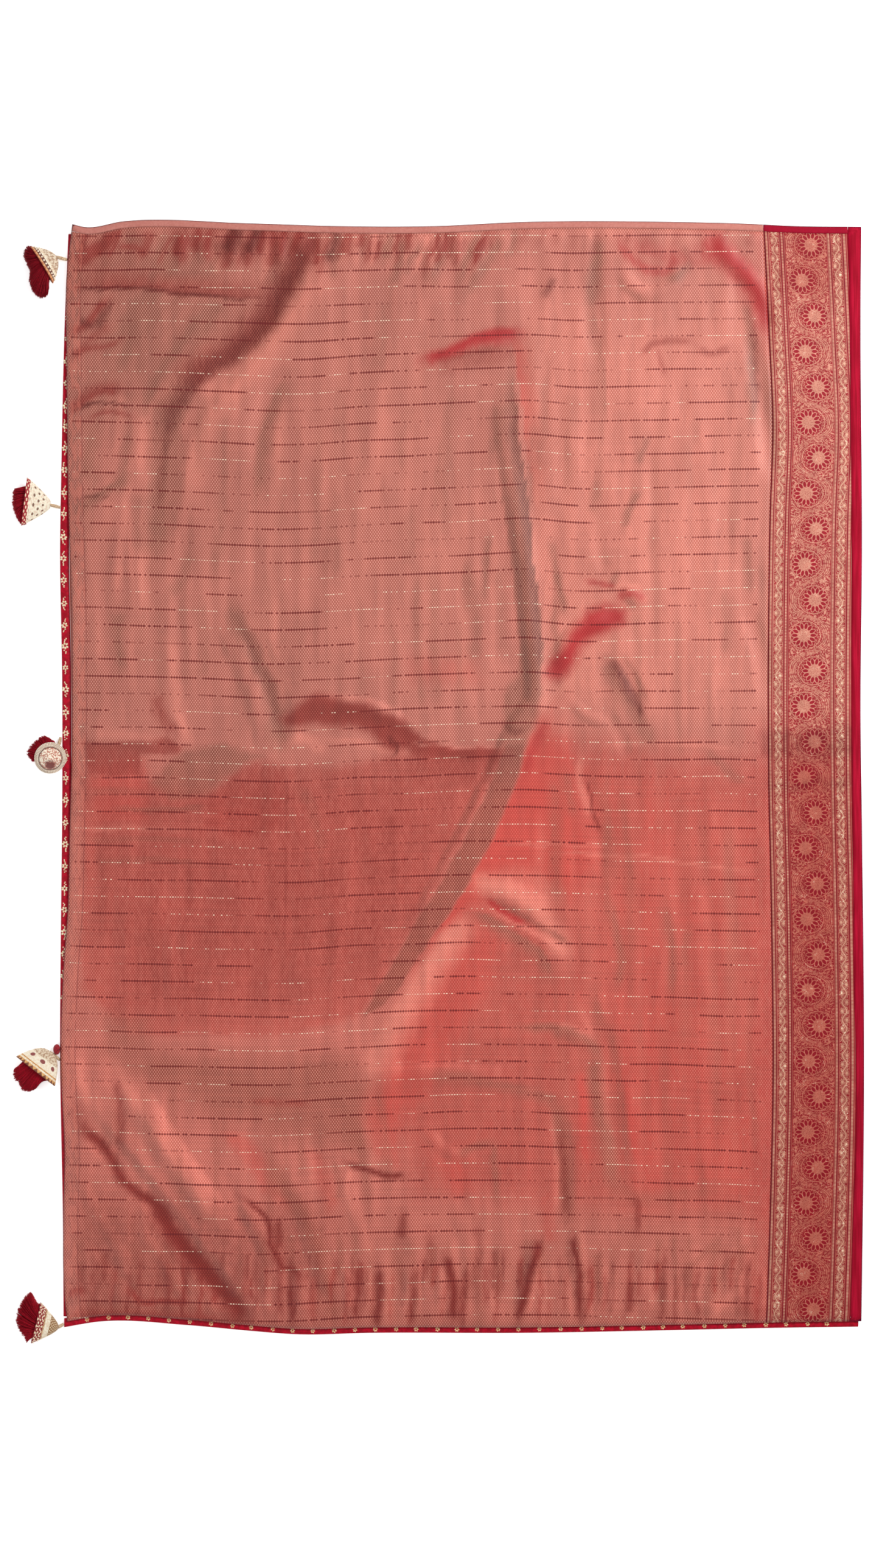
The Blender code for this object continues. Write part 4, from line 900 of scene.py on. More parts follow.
def apply_solidify(obj, thickness, offset=-1.0):
    """Gives a sheet its thickness and closes its rim."""
    select_only(obj)
    wall = obj.modifiers.new("thickness", "SOLIDIFY")
    wall.thickness = thickness * MM
    wall.offset = offset
    bpy.ops.object.modifier_apply(modifier=wall.name)
    deselect()


def keep_hem(obj):
    """Leaves the underside of a shell only as a narrow hem along its edges."""
    mesh = obj.data
    normals = np.empty(3 * len(mesh.polygons))
    centres = np.empty(3 * len(mesh.polygons))
    mesh.polygons.foreach_get("normal", normals)
    mesh.polygons.foreach_get("center", centres)
    x, y, _ = centres.reshape(-1, 3).T / MM
    from_outline = np.minimum(edge_distance(x, y), along(BORDER_SEAM, y) - x)
    hidden = (normals.reshape(-1, 3)[:, 2] < -0.5) & (from_outline > HEM_TURN)
    select_only(obj)
    bpy.ops.object.mode_set(mode="EDIT")
    bpy.ops.mesh.select_mode(type="FACE")
    bpy.ops.mesh.select_all(action="DESELECT")
    bpy.ops.object.mode_set(mode="OBJECT")
    mesh.polygons.foreach_set("select", hidden)
    bpy.ops.object.mode_set(mode="EDIT")
    bpy.ops.mesh.delete(type="FACE")
    bpy.ops.object.mode_set(mode="OBJECT")
    deselect()


def new_mesh(name, points, faces):
    """An object from points in millimetres and lists of corners."""
    mesh = bpy.data.meshes.new(name)
    mesh.from_pydata(np.asarray(points) * MM, [], faces)
    obj = bpy.data.objects.new(name, mesh)
    bpy.context.collection.objects.link(obj)
    return obj


def dress(obj, finish, slot_name, *nodes):
    """Gives a piece its smooth shading, its material and its place in the frame."""
    obj.data.shade_smooth()
    obj.data.materials.clear()
    obj.data.materials.append(finish)
    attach(obj, "root")
    if nodes:
        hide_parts(*nodes)


def cloth_shell(name, west, east, south, north):
    """A thin shell between two sides given by Y and two sides given by X, on the folds."""
    middle = (west(0.0) + east(0.0)) / 2
    columns = max(3, round((east(0.0) - west(0.0)) / CLOTH_CELL))
    rows = max(3, round((north(middle) - south(middle)) / CLOTH_CELL))
    obj, across, up = new_grid(name, columns, rows)
    x = west(np.zeros_like(up)) * (1 - across) + east(np.zeros_like(up)) * across
    for _ in range(3):
        y = south(x) * (1 - up) + north(x) * up
        x = west(y) * (1 - across) + east(y) * across
    height, slope_x, slope_y = height_and_slopes(x, y)
    place_points(obj, np.stack([x, y, height], 1))
    for tone, values in tone_values(x, y, slope_x, slope_y).items():
        store(obj, tone, values)
    return obj, x, y


def tint(red, green, blue):
    """A colour given as it looks on a screen, from 0 to 255, as the light that a shader needs."""
    shares = [value / 255 for value in (red, green, blue)]
    return tuple(s / 12.92 if s <= 0.04045 else ((s + 0.055) / 1.055) ** 2.4 for s in shares) + (1.0,)


class Value:
    """A number, colour or vector in a material, so that maths can be written as Python."""

    def __init__(self, finish, socket):
        self.finish = finish
        self.socket = socket

    def maths(self, operation, *others, first=True):
        values = (self, *others) if first else (*others, self)
        return self.finish.node("ShaderNodeMath", {"operation": operation}, dict(enumerate(values)))

    def __add__(self, other):
        return self.maths("ADD", other)

    def __sub__(self, other):
        return self.maths("SUBTRACT", other)

    def __mul__(self, other):
        return self.maths("MULTIPLY", other)

    def __truediv__(self, other):
        return self.maths("DIVIDE", other)

    def __radd__(self, other):
        return self.maths("ADD", other, first=False)

    def __rsub__(self, other):
        return self.maths("SUBTRACT", other, first=False)

    def __rmul__(self, other):
        return self.maths("MULTIPLY", other, first=False)

    def __neg__(self):
        return self * -1.0

    def __abs__(self):
        return self.maths("ABSOLUTE")

    def sin(self):
        return self.maths("SINE")

    def cos(self):
        return self.maths("COSINE")

    def wave(self, pitch):
        """A sine that repeats at each pitch."""
        return (self * (math.tau / pitch)).sin()

    def floor(self):
        return self.maths("FLOOR")

    def fract(self):
        return self.maths("FRACT")

    def most(self, other):
        return self.maths("MAXIMUM", other)

    def least(self, other):
        return self.maths("MINIMUM", other)

    def hypot(self, other):
        return (self * self + other * other).maths("SQRT")

    def rise(self, low, high):
        """0 below low, 1 above high, smooth between."""
        settings = {"interpolation_type": "SMOOTHSTEP"}
        return self.finish.node("ShaderNodeMapRange", settings, {0: self, 1: low, 2: high, 3: 0.0, 4: 1.0})

    def fall(self, low, high):
        """1 below low, 0 above high, smooth between."""
        return 1.0 - self.rise(low, high)

    def split(self):
        node = self.finish.tree.nodes.new("ShaderNodeSeparateXYZ")
        self.finish.feed(node.inputs[0], self)
        return [Value(self.finish, output) for output in node.outputs]


class Finish:
    """One procedural material and its nodes."""

    def __init__(self, name, roughness, **constants):
        self.material = bpy.data.materials.new(name)
        self.material.use_nodes = True
        self.tree = self.material.node_tree
        self.shader = self.tree.nodes["Principled BSDF"]
        self.set("Roughness", roughness)
        for socket, value in constants.items():
            self.set(socket.replace("_", " "), value)

    def feed(self, socket, value):
        if isinstance(value, Value):
            self.tree.links.new(value.socket, socket)
        else:
            socket.default_value = value

    def set(self, socket, value):
        self.feed(self.shader.inputs[socket], value)

    def node(self, kind, settings, links, output=0):
        node = self.tree.nodes.new(kind)
        for key, value in settings.items():
            setattr(node, key, value)
        for key, value in links.items():
            self.feed(node.inputs[key], value)
        return Value(self, node.outputs[output])

    def mix(self, factor, first, second):
        settings = {"data_type": "RGBA", "clamp_factor": True}
        return self.node("ShaderNodeMix", settings, {0: factor, 6: first, 7: second}, output=2)

    def scale(self, colour, factor):
        settings = {"operation": "SCALE"}
        return self.node("ShaderNodeVectorMath", settings, {0: colour, "Scale": factor})

    def attribute(self, name, output="Fac"):
        return self.node("ShaderNodeAttribute", {"attribute_name": name}, {}, output=output)

    def place(self):
        """The place on the object in millimetres."""
        return self.scale(self.node("ShaderNodeTexCoord", {}, {}, output="Object"), 1 / MM)

    def vector(self, x, y, z=0.0):
        return self.node("ShaderNodeCombineXYZ", {}, {0: x, 1: y, 2: z})

    def noise(self, place, scale, detail=2.0):
        return self.node("ShaderNodeTexNoise", {}, {"Vector": place, "Scale": scale, "Detail": detail})

    def lumps(self, x, y, z=0.0, detail=2.0):
        """Noise whose lumps are about 1 wide in the numbers given."""
        return self.noise(self.vector(x, y, z), 1.0, detail)

    def random(self, x, y, z=0.0):
        return self.node("ShaderNodeTexWhiteNoise", {}, {"Vector": self.vector(x, y, z)})

    def bump(self, height, distance, strength):
        """Raises the surface by height, with distance in millimetres for a height of 1."""
        links = {"Height": height, "Distance": distance * MM, "Strength": strength}
        self.set("Normal", self.node("ShaderNodeBump", {}, links))


def shot_colour(finish, place, colours):
    """A ground whose tones lay painted sheen and painted shade over it, by the lie of the cloth."""
    plain, *turned = [tint(*shades) for shades in colours]
    u, v, _ = place.split()
    ragged = finish.lumps(u * 0.2, v * 0.07, detail=3.0) - 0.5
    colour = plain
    for tone, tone_colour in zip(TONES, turned):
        strength = finish.attribute(tone)
        strength = strength + ragged * strength * (1.0 - strength) * 2.4
        colour = finish.mix(strength, colour, tone_colour)
    return colour


def shot_silk():
    """Salmon silk with light dots in staggered rows and dashed lines of dark red or cream thread."""
    finish = Finish("shot_silk_woven", 0.5, Sheen_Weight=0.06, Sheen_Roughness=0.4, Specular_IOR_Level=0.3)
    cloth = finish.attribute("cloth", "Vector")
    u, v, to_border = cloth.split()
    from_left = finish.attribute("from_left")
    lattice = (u * (math.tau / DOT_PITCH)).cos() * (v * (math.pi / ROW_PITCH)).cos()
    dots = lattice.rise(-0.15, 0.66)

    ground = shot_colour(finish, cloth, SILK_GROUND)
    thread = shot_colour(finish, cloth, SILK_THREAD)
    cloudy = finish.noise(cloth, 0.012, detail=3.0)
    streaky = finish.lumps(u * 0.055, v * 0.008, detail=3.0)
    slubs = finish.lumps(u * 0.007, v * 0.3, 4.0)
    lower = v.fall(-60.0, 80.0)
    colour = finish.mix(dots * 0.88, ground, thread)
    # Painted light: lit brightens slopes turned to the key lamp and darkens those turned away; the long
    # streaks are painted sheen of slight undulations.
    light = 0.53 + cloudy * 0.28 + streaky * 0.44 + slubs * (0.12 + lower * 0.2)
    light = light * (1.0 + finish.attribute("lit") * 0.62)
    # Painted sheen: the lower part is mixed redder, as the cloth tilts there.
    colour = finish.scale(finish.mix(0.03 + lower * 0.15, colour, tint(190, 40, 30)), light)

    line = (v / DASH_PITCH + 0.5).floor()
    from_line = v - line * DASH_PITCH
    odd = (line * 0.5).fract() * 2.0
    place = u / DOT_PITCH + odd * 0.5 + 0.5
    cell = place.floor()
    from_cell = (place - cell - 0.5) * DOT_PITCH
    luck = finish.random(cell, line)
    crowd = finish.lumps(u * 0.008, line * 7.31, detail=1.0)
    kind = finish.lumps(u * 0.007, line * 3.77, 9.0, detail=1.0)
    gaps = finish.lumps(u * 0.014, line * 5.13, 5.0, detail=0.0).rise(0.28, 0.31)
    there = (crowd.rise(0.4, 0.5) * 0.42 + 0.5 - luck).rise(-0.02, 0.02) * gaps
    within = from_left.rise(DASH_START_GAP, DASH_START_GAP + 1.0)
    within = within * to_border.rise(DASH_END_GAP, DASH_END_GAP + 1.0)
    there = there * within
    uneven = finish.random(cell, line, 3.0)
    size = 0.9 + crowd.rise(0.42, 0.6) * 0.3 + uneven * 0.4
    shape = from_cell.hypot(from_line)
    dark_kind = kind.fall(0.53, 0.545)
    dark = there * (shape - size).fall(-0.3, 0.3) * dark_kind * (0.6 + crowd.rise(0.36, 0.5) * 0.4)
    wire = abs(from_line).fall(0.4, 0.9) * crowd.rise(0.36, 0.5) * gaps * dark_kind * within
    cream = there * (from_cell * 0.8).hypot(from_line * 1.25).fall(0.7, 1.3) * kind.rise(0.545, 0.56)
    cream = cream * (0.1 + 0.9 * uneven)
    colour = finish.mix(wire * 0.2, colour, tint(112, 28, 28))
    colour = finish.mix(dark * 0.88, colour, tint(100, 14, 18))
    colour = finish.mix(cream * 0.85, colour, tint(255, 226, 200))

    hem = from_left.fall(LEFT_HEM - 1.0, LEFT_HEM)
    wobble = finish.lumps(u * 0.2, v * 0.05, 2.0)
    colour = finish.mix(hem * wobble.rise(0.4, 0.6) * 0.3, colour, tint(216, 118, 100))
    seam = band(from_left, LEFT_HEM - 1.3, LEFT_HEM + 0.3, 0.5) * wobble.rise(0.36, 0.5)
    colour = finish.mix(seam * 0.5, colour, tint(110, 34, 34))
    colour = finish.mix(from_left.fall(0.7, 1.5) * 0.75, colour, tint(96, 26, 32))

    finish.set("Base Color", colour)
    finish.set("Roughness", 0.44 + dots * 0.12)
    finish.bump(dots * 0.7 - dark * 0.4 + cream * 0.5 + streaky * 3.0, 0.3, 0.35)
    return finish.material


def band(value, low, high, soft=0.4):
    """1 between low and high."""
    return value.rise(low - soft, low + soft) * value.fall(high - soft, high + soft)


def joined(masks):
    """1 wherever one of the masks is 1."""
    return reduce(Value.most, masks)


def lines_along(u, spans):
    """Fine lines along the border, each from one distance to another."""
    return joined(band(u, low, high, 0.25) for low, high in spans)


def ladder(u, v, centre, width, pitch, offset):
    """A row of short bars across the border."""
    step = abs(((v + offset) / pitch).fract() - 0.5) * pitch
    return abs(u - centre).fall(width / 2 - 0.4, width / 2 + 0.1) * step.fall(pitch * 0.2, pitch * 0.34)


def scroll_band(finish, u, v, low, high, offset):
    """A double waving stem with a veined leaf and a bud in each of its bends, between two fine lines."""
    half_width = (high - low) / 2
    period = MEDALLION_PITCH / 2
    across = u - (low + high) / 2
    place = (v + offset) * (2 / period)
    from_stem = across - (place * math.pi).sin() * (half_width * 0.42)
    stem = abs(from_stem).fall(0.65, 1.15).most(band(abs(from_stem), 1.9, 2.3, 0.25) * 0.8)
    side = (place.floor() * 0.5).fract() * 4.0 - 1.0
    step = (place.fract() - 0.5) * (period / 2)
    leaf_across = across - side * (half_width * 0.42)
    leaf = (leaf_across / 3.0).hypot(step / 4.9).fall(0.85, 1.05)
    veins = (step + abs(leaf_across) * 1.3).wave(2.3).rise(-0.5, 0.3)
    bud = leaf_across.hypot(step).fall(1.3, 2.0)
    twigs = finish.lumps(u * 0.55, v * 0.55, detail=1.0).rise(0.5, 0.56) * 0.75
    twigs = twigs * abs(from_stem).rise(1.0, 1.6) * (1.0 - leaf)
    inside = abs(across).fall(half_width - 0.9, half_width - 0.4)
    lines = band(abs(across), half_width - 0.4, half_width + 0.1, 0.25)
    return stem.most(leaf * veins.most(bud)).most(twigs) * inside + lines


def medallion_band(finish, u, v):
    """Petalled flowers, to the left and right by turns, each held in a bend of a thick waving vine."""
    centre = (MEDALLIONS_START + MEDALLIONS_END) / 2
    half = (MEDALLIONS_END - MEDALLIONS_START) / 2
    index = (v / MEDALLION_PITCH + 0.5).floor()
    side = (index * 0.5).fract() * 4.0 - 1.0
    along_v = v - index * MEDALLION_PITCH
    along_u = u - centre - side * MEDALLION_SWAY
    radius = along_u.hypot(along_v)
    angle = along_v.maths("ARCTAN2", along_u)
    towards_vine = (-side * along_u).rise(-6.0, 6.0)

    petal_turn = abs((angle * (PETALS / math.tau) + 0.5).fract() - 0.5) * 2.0
    petal_across = petal_turn * radius * (math.pi / PETALS) / PETAL_HALF_WIDTH
    petal_along = (radius - PETAL_CENTRE) / PETAL_HALF_LENGTH
    petal = petal_across.hypot(petal_along)
    between = radius.fall(PETAL_CENTRE + 1.8, PETAL_CENTRE + 2.4).most(petal.fall(1.28, 1.4))
    outline = petal.rise(0.96, 1.06) * between * radius.fall(PETAL_CENTRE + 4.7, PETAL_CENTRE + 5.1)
    speckle = finish.lumps(u * 0.8, v * 0.8, detail=1.0).rise(0.40, 0.50)
    beyond_disc = radius.rise(DISC_RADIUS, DISC_RADIUS + 0.6)
    disc = (1.0 - beyond_disc) * (0.35 + speckle * 0.65)
    dots = finish.lumps(u * 0.75, v * 0.75, 3.0, detail=0.0).rise(0.53, 0.60)
    dots = dots * radius.rise(PETAL_CENTRE + 5.2, PETAL_CENTRE + 5.8)
    from_rim = ((along_u + side * RIM_SHIFT) / RIM_ACROSS).hypot(along_v / RIM_ALONG)
    flower = joined((outline * beyond_disc, disc, dots, band(from_rim, 0.955, 1.0, 0.012)))
    inside = (from_rim - 1.03 - towards_vine * 0.09).fall(-0.01, 0.01)

    turn = v * (math.pi / MEDALLION_PITCH)
    swing = turn.cos()
    vine_u = swing * (1.35 - swing * swing * 0.35) * (half * 0.82)
    slope = turn.sin() * 1.25
    vine_place = (u - centre - vine_u) / (1.0 + slope * slope).maths("SQRT")
    sway = finish.noise(finish.vector(u, v), 0.12) * 3.0
    strands = (vine_place * (math.tau / 2.6) + sway).sin().rise(-0.95, -0.3)
    curls = finish.noise(finish.vector(u, v), 0.075, detail=1.5) * 34.0
    spray = (along_u * side * 0.62 + abs(along_v) * 0.78 + curls).sin().rise(-0.1, 0.5)
    leafy = abs(vine_place).rise(4.8, 6.0)
    breaks = finish.lumps(u * 0.3, v * 0.3, detail=2.5).rise(0.42, 0.50)
    sprigs = finish.lumps(u * 0.6, v * 0.6, 7.0, detail=1.0).rise(0.51, 0.57) * 0.7
    vine = strands * (1.0 - leafy) * (0.3 + breaks * 0.7) + (spray * breaks).most(sprigs) * leafy
    return flower * inside + vine * (1.0 - inside)


def gold_border():
    """The woven border: rows of bars, scrolling stems and medallions in gold thread on red."""
    finish = Finish("gold_border_woven", 0.5, Specular_IOR_Level=0.15)
    cloth = finish.attribute("cloth", "Vector")
    u, v, _ = cloth.split()
    ladders = joined(ladder(u, v, *row) for row in LADDERS)
    scrolls = joined(scroll_band(finish, u, v, *row) for row in SCROLLS)
    medallions = medallion_band(finish, u, v) * band(u, MEDALLIONS_START + 1.2, MEDALLIONS_END - 0.8)
    gold = joined((ladders, lines_along(u, GOLD_LINES), scrolls, medallions)).least(1.0)
    wires = lines_along(u, DARK_LINES)
    buds = joined(band(u, low + 2, high - 2) for low, high, _ in SCROLLS)

    weave = (u.wave(1.1) * v.wave(1.1)).rise(-0.6, 0.6)
    bright = finish.lumps(u * 0.09, v * 0.06, detail=3.0)
    # Painted light: sparkle is painted glints on the gold thread, and the tones lay painted sheen and shade
    # over the border as over the field.
    sparkle = finish.random((u / 2.2).floor(), (v / 2.2).floor()).rise(0.78, 0.88)
    sparkle = sparkle * (0.3 + buds * 0.7)
    ground = shot_colour(finish, cloth, BORDER_GROUND)
    thread = shot_colour(finish, cloth, BORDER_THREAD)
    pale = finish.mix(0.6, thread, tint(255, 226, 188))
    thread = finish.mix((ladders * 0.75 + buds * 0.6).least(1.0) * (0.4 + bright), thread, pale)
    colour = finish.mix(gold * (0.85 + 0.15 * weave), ground, thread)
    colour = finish.mix(wires * 0.8, colour, tint(84, 26, 34))
    colour = finish.mix(gold * sparkle * bright.rise(0.48, 0.62) * 0.9, colour, tint(255, 228, 196))
    colour = finish.scale(colour, 0.54 + bright * 0.42)
    finish.set("Base Color", colour)
    finish.set("Roughness", 0.55 - gold * 0.12)
    finish.bump(gold + weave * 0.25, 0.3, 0.4)
    return finish.material


def plain_weave(name, ground, light, edge_line, streak=0.12):
    """Plain cloth with fine crossing threads, long uneven streaks and a dark line along its outer edge."""
    finish = Finish(name, 0.75, Specular_IOR_Level=0.1)
    x, y, z = finish.place().split()
    weave = x.wave(1.2) * y.wave(1.2)
    long_streak = finish.lumps(x * 0.25, y * 0.015, z)
    cloud = finish.noise(finish.vector(x, y, z), 0.02, detail=2.0)
    share = weave * 0.12 + (long_streak - 0.5) * streak * 6 + cloud * 0.4
    colour = finish.mix(share.least(1.0).most(0.0), ground, light)
    from_edge = finish.attribute("cloth", "Vector").split()[2]
    finish.set("Base Color", finish.mix(from_edge.fall(0.7, 1.3) * 0.8, colour, edge_line))
    finish.bump(weave * 0.5 + long_streak, 0.25, 0.3)
    return finish.material


def layered_cloth():
    """The folded layers seen edge on: thin lines of cloth with painted shade in the gaps between them."""
    finish = Finish("inner_cloth_layers", 0.55, Sheen_Weight=0.2)
    x, y, z = finish.place().split()
    layer = (z / 0.62).floor()
    line = abs((z / 0.62).fract() - 0.5)
    luck = finish.random(layer, 3.0)
    streaks = finish.lumps(x * 0.3, y * 0.3, z * 2.0)
    ground = finish.mix(luck, tint(150, 62, 54), tint(196, 104, 86))
    # Painted shade: dark lines where the layers meet.
    colour = finish.mix(line.rise(0.3, 0.5), ground, tint(70, 18, 20))
    finish.set("Base Color", finish.scale(colour, 0.8 + streaks * 0.4))
    finish.bump(line.fall(0.3, 0.5) + streaks * 0.3, 0.4, 0.5)
    return finish.material


def satin():
    """Deep red satin with a fine diagonal rib and soft puckers."""
    finish = Finish("satin_binding_red", 0.5, Specular_IOR_Level=0.15)
    x, y, z = finish.place().split()
    rib = (x + y).wave(1.0)
    pucker = finish.lumps(x * 0.2, y * 0.2, z)
    # Painted shade and sheen: darker in the hollows of the puckers, lighter on their crowns.
    colour = finish.mix(pucker.rise(0.35, 0.7), tint(146, 0, 24), tint(180, 0, 34))
    finish.set("Base Color", colour)
    finish.bump(rib * 0.15 + pucker * 2.0, 0.3, 0.5)
    return finish.material


def thread_finish(name, dark, light, roughness=0.55, sheen=0.3):
    """Twisted embroidery thread, uneven in colour along its length."""
    finish = Finish(name, roughness, Sheen_Weight=sheen, Specular_IOR_Level=0.2)
    place = finish.place()
    patchy = finish.noise(place, 0.5, detail=3.0)
    twist = finish.noise(place, 3.0, detail=1.0)
    finish.set("Base Color", finish.mix((patchy * 0.6 + twist * 0.4).rise(0.3, 0.7), dark, light))
    finish.bump(twist, 0.2, 0.5)
    return finish.material


Zone = namedtuple("Zone", "start pattern first second")


def zone_colour(finish, zone, end, angle, share, blotch):
    """One band of a cone: mottled, or with beads or triangles of its second colour."""
    if zone.pattern == "mottled":
        shows = blotch.rise(0.44, 0.6)
    elif zone.pattern == "beads":
        shows = ((angle * 18.0).sin() * (share * 50.0).sin()).rise(0.15, 0.5)
    else:
        step = abs((angle * (26 / math.tau)).fract() - 0.5) * 2.0
        shows = (step - (share - zone.start) / (end - zone.start)).rise(-0.15, 0.15)
    return finish.mix(shows, zone.first, zone.second)


def cone_cloth(name, zones, spots=None):
    """Stitched cone cloth in bands from its point to its mouth, with rows of spots on some cones."""
    finish = Finish(name, 0.65, Sheen_Weight=0.1)
    cos, sin, share = finish.attribute("around", "Vector").split()
    angle = sin.maths("ARCTAN2", cos)
    place = finish.place()
    blotch = finish.noise(place, 0.35, detail=3.0)
    fine = finish.noise(place, 1.6, detail=2.0)
    colour = zones[0].first
    ends = [zone.start for zone in zones[1:]] + [1.0]
    for zone, end in zip(zones, ends):
        begun = share.rise(zone.start - 0.01, zone.start + 0.01)
        colour = finish.mix(begun, colour, zone_colour(finish, zone, end, angle, share, blotch))
    if spots:
        rows, count, size, low, high, tone = spots
        row = (share * rows).floor()
        turn = (angle * (count / math.tau) + (row * 0.5).fract()).fract() - 0.5
        step = (share * rows).fract() - 0.5
        spot = (turn * 1.2).hypot(step).fall(size, size + 0.08) * band(share, low, high, 0.02)
        colour = finish.mix(spot * 0.92, colour, tone)
    stitches = ((angle * 70.0).sin() * 0.5 + 0.5) * (share * 130.0).sin().rise(-0.2, 0.6)
    colour = finish.scale(colour, 0.84 + stitches * 0.14 + fine * 0.12)
    finish.set("Base Color", colour)
    finish.bump(stitches + fine, 0.4, 0.6)
    return finish.material


def disc_cloth():
    """The third cone seen from its point: bead rings, a dark ring and a mottled cream middle."""
    finish = Finish("cone_3_cloth", 0.65, Sheen_Weight=0.1)
    cos, sin, share = finish.attribute("around", "Vector").split()
    angle = sin.maths("ARCTAN2", cos)
    place = finish.place()
    blotch = finish.noise(place, 0.4, detail=3.0)
    fine = finish.noise(place, 1.8, detail=2.0)
    colour = finish.mix(blotch.rise(0.45, 0.56), tint(246, 232, 210), tint(184, 118, 98))
    heart = (cos * share + 0.21).hypot(sin * share + 0.24) + (blotch - 0.5) * 0.5
    colour = finish.mix(heart.fall(0.2, 0.3), colour, tint(122, 56, 48))
    ring = band(share, 0.62, 0.69, 0.012)
    colour = finish.mix(ring, colour, tint(104, 66, 54))
    threads = (angle * 60.0).sin() * (share * 90.0).sin()
    outer = share.rise(0.69, 0.71)
    beads = finish.mix(threads.rise(-0.3, 0.3), tint(138, 104, 88), tint(240, 224, 202))
    colour = finish.mix(outer, colour, beads)
    finish.set("Base Color", finish.scale(colour, 0.88 + fine * 0.25))
    finish.bump(threads * outer + fine - ring, 0.4, 0.7)
    return finish.material


def left(y):
    return along(LEFT_EDGE, y)


def right(y):
    return along(RIGHT_EDGE, y)


def top(x):
    return along(TOP_EDGE, x)


def bottom(x):
    return along(BOTTOM_EDGE, x) + BOTTOM_BINDING_SHOWS


def seam(table, side):
    return lambda y: along(table, y) + side * SEAM_GAP / 2


def below_heading(x):
    return top(x) - HEADING_DEPTH - SEAM_GAP / 2


def above_heading(x):
    return top(x) - HEADING_DEPTH + SEAM_GAP / 2


def top_stretch():
    """The five shells of the top stretch, which meet at their seams."""
    field_end = seam(BORDER_SEAM, -1)
    border_start = seam(BORDER_SEAM, 1)
    border_end = seam(SELVEDGE_SEAM, -1)
    selvedge_start = seam(SELVEDGE_SEAM, 1)
    sheets = (
        ("field_cloth", left, field_end, bottom, below_heading, shot_silk(), "shot_silk",
         "top_field", (1.012, 1.574)),
        ("border_cloth", border_start, border_end, bottom, below_heading, gold_border(),
         "gold_border", "top_border", (0.121, 1.574)),
        ("selvedge_cloth", selvedge_start, right, bottom, top,
         plain_weave("selvedge_weave", tint(138, 0, 28), tint(192, 16, 54), tint(88, 8, 48), 0.3),
         "crimson_silk", "top_selvedge", (0.015, 1.587)),
        ("heading_cloth", left, field_end, above_heading, top,
         plain_weave("heading_weave", tint(176, 106, 96), tint(208, 146, 134), tint(92, 40, 46)),
         "pale_heading", "top_heading", (1.012, 0.0105)),
        ("heading_border_cloth", border_start, border_end, above_heading, top,
         plain_weave("heading_border_weave", tint(138, 6, 34), tint(168, 18, 48), tint(80, 8, 30)),
         "red_heading", "top_heading_border", (0.121, 0.0105)),
    )
    for name, west, east, south, north, finish, slot_name, node, flat in sheets:
        obj, x, y = cloth_shell(name, west, east, south, north)
        if name == "field_cloth":
            place = np.stack([x, y - thread_rise(x, y), along(BORDER_SEAM, y) - x], 1)
        else:
            place = np.stack([x - along(BORDER_SEAM, y), y, edge_distance(x, y)], 1)
        store(obj, "cloth", place)
        store(obj, "from_left", x - along(LEFT_EDGE, y))
        apply_solidify(obj, SILK_THICKNESS)
        if name == "field_cloth":
            keep_hem(obj)
        dress(obj, finish, slot_name, node)


def tube_mesh(lines, radii, sides):
    """Joined tubes with closed ends, one for each line of points, each with a radius at each point."""
    points = []
    faces = []
    start = 0
    for line, radius in zip(lines, radii):
        line = np.asarray(line, float)
        run = np.gradient(line, axis=0)
        run /= np.linalg.norm(run, axis=1, keepdims=True)
        side = np.cross(run, (0.31, 0.17, 0.93))
        side /= np.linalg.norm(side, axis=1, keepdims=True)
        rise = np.cross(side, run)
        angles = math.tau * np.arange(sides) / sides
        wheel = (side[:, None] * np.cos(angles)[None, :, None]
                 + rise[:, None] * np.sin(angles)[None, :, None])
        rings = line[:, None] + wheel * np.asarray(radius, float)[:, None, None]
        points.append(rings.reshape(-1, 3))
        count = len(line)
        for ring in range(count - 1):
            for k in range(sides):
                a = start + ring * sides + k
                b = start + ring * sides + (k + 1) % sides
                faces.append((a, b, b + sides, a + sides))
        faces.append(tuple(start + k for k in range(sides))[::-1])
        faces.append(tuple(start + (count - 1) * sides + k for k in range(sides)))
        start += count * sides
    return np.concatenate(points), faces


def tubes(name, lines, radii, sides):
    points, faces = tube_mesh(lines, radii, sides)
    obj = new_mesh(name, points, faces)
    outwards(obj)
    return obj


def unit_ball(rings):
    """The points and faces of one small ball of radius 1, from its top to its bottom."""
    turns = np.arange(BALL_SEGMENTS) * math.tau / BALL_SEGMENTS
    points = [(0.0, 0.0, 1.0)]
    for tilt in np.arange(1, rings) * math.pi / rings:
        points += [(math.sin(tilt) * math.cos(turn), math.sin(tilt) * math.sin(turn), math.cos(tilt))
                   for turn in turns]
    points.append((0.0, 0.0, -1.0))
    faces = []
    for k in range(BALL_SEGMENTS):
        here = 1 + k
        beside = 1 + (k + 1) % BALL_SEGMENTS
        faces.append((0, here, beside))
        for _ in range(rings - 2):
            faces.append((here, here + BALL_SEGMENTS, beside + BALL_SEGMENTS, beside))
            here += BALL_SEGMENTS
            beside += BALL_SEGMENTS
        faces.append((here, len(points) - 1, beside))
    return np.array(points), faces


def scatter(name, places, rings):
    """Joined balls, each given by a matrix in millimetres that sizes, turns and places it."""
    unit, unit_faces = unit_ball(rings)
    points = []
    faces = []
    for index, place in enumerate(places):
        matrix = np.array(place)
        points.append(unit @ matrix[:3, :3].T + matrix[:3, 3])
        faces += [tuple(corner + index * len(unit) for corner in face) for face in unit_faces]
    return new_mesh(name, np.concatenate(points), faces)


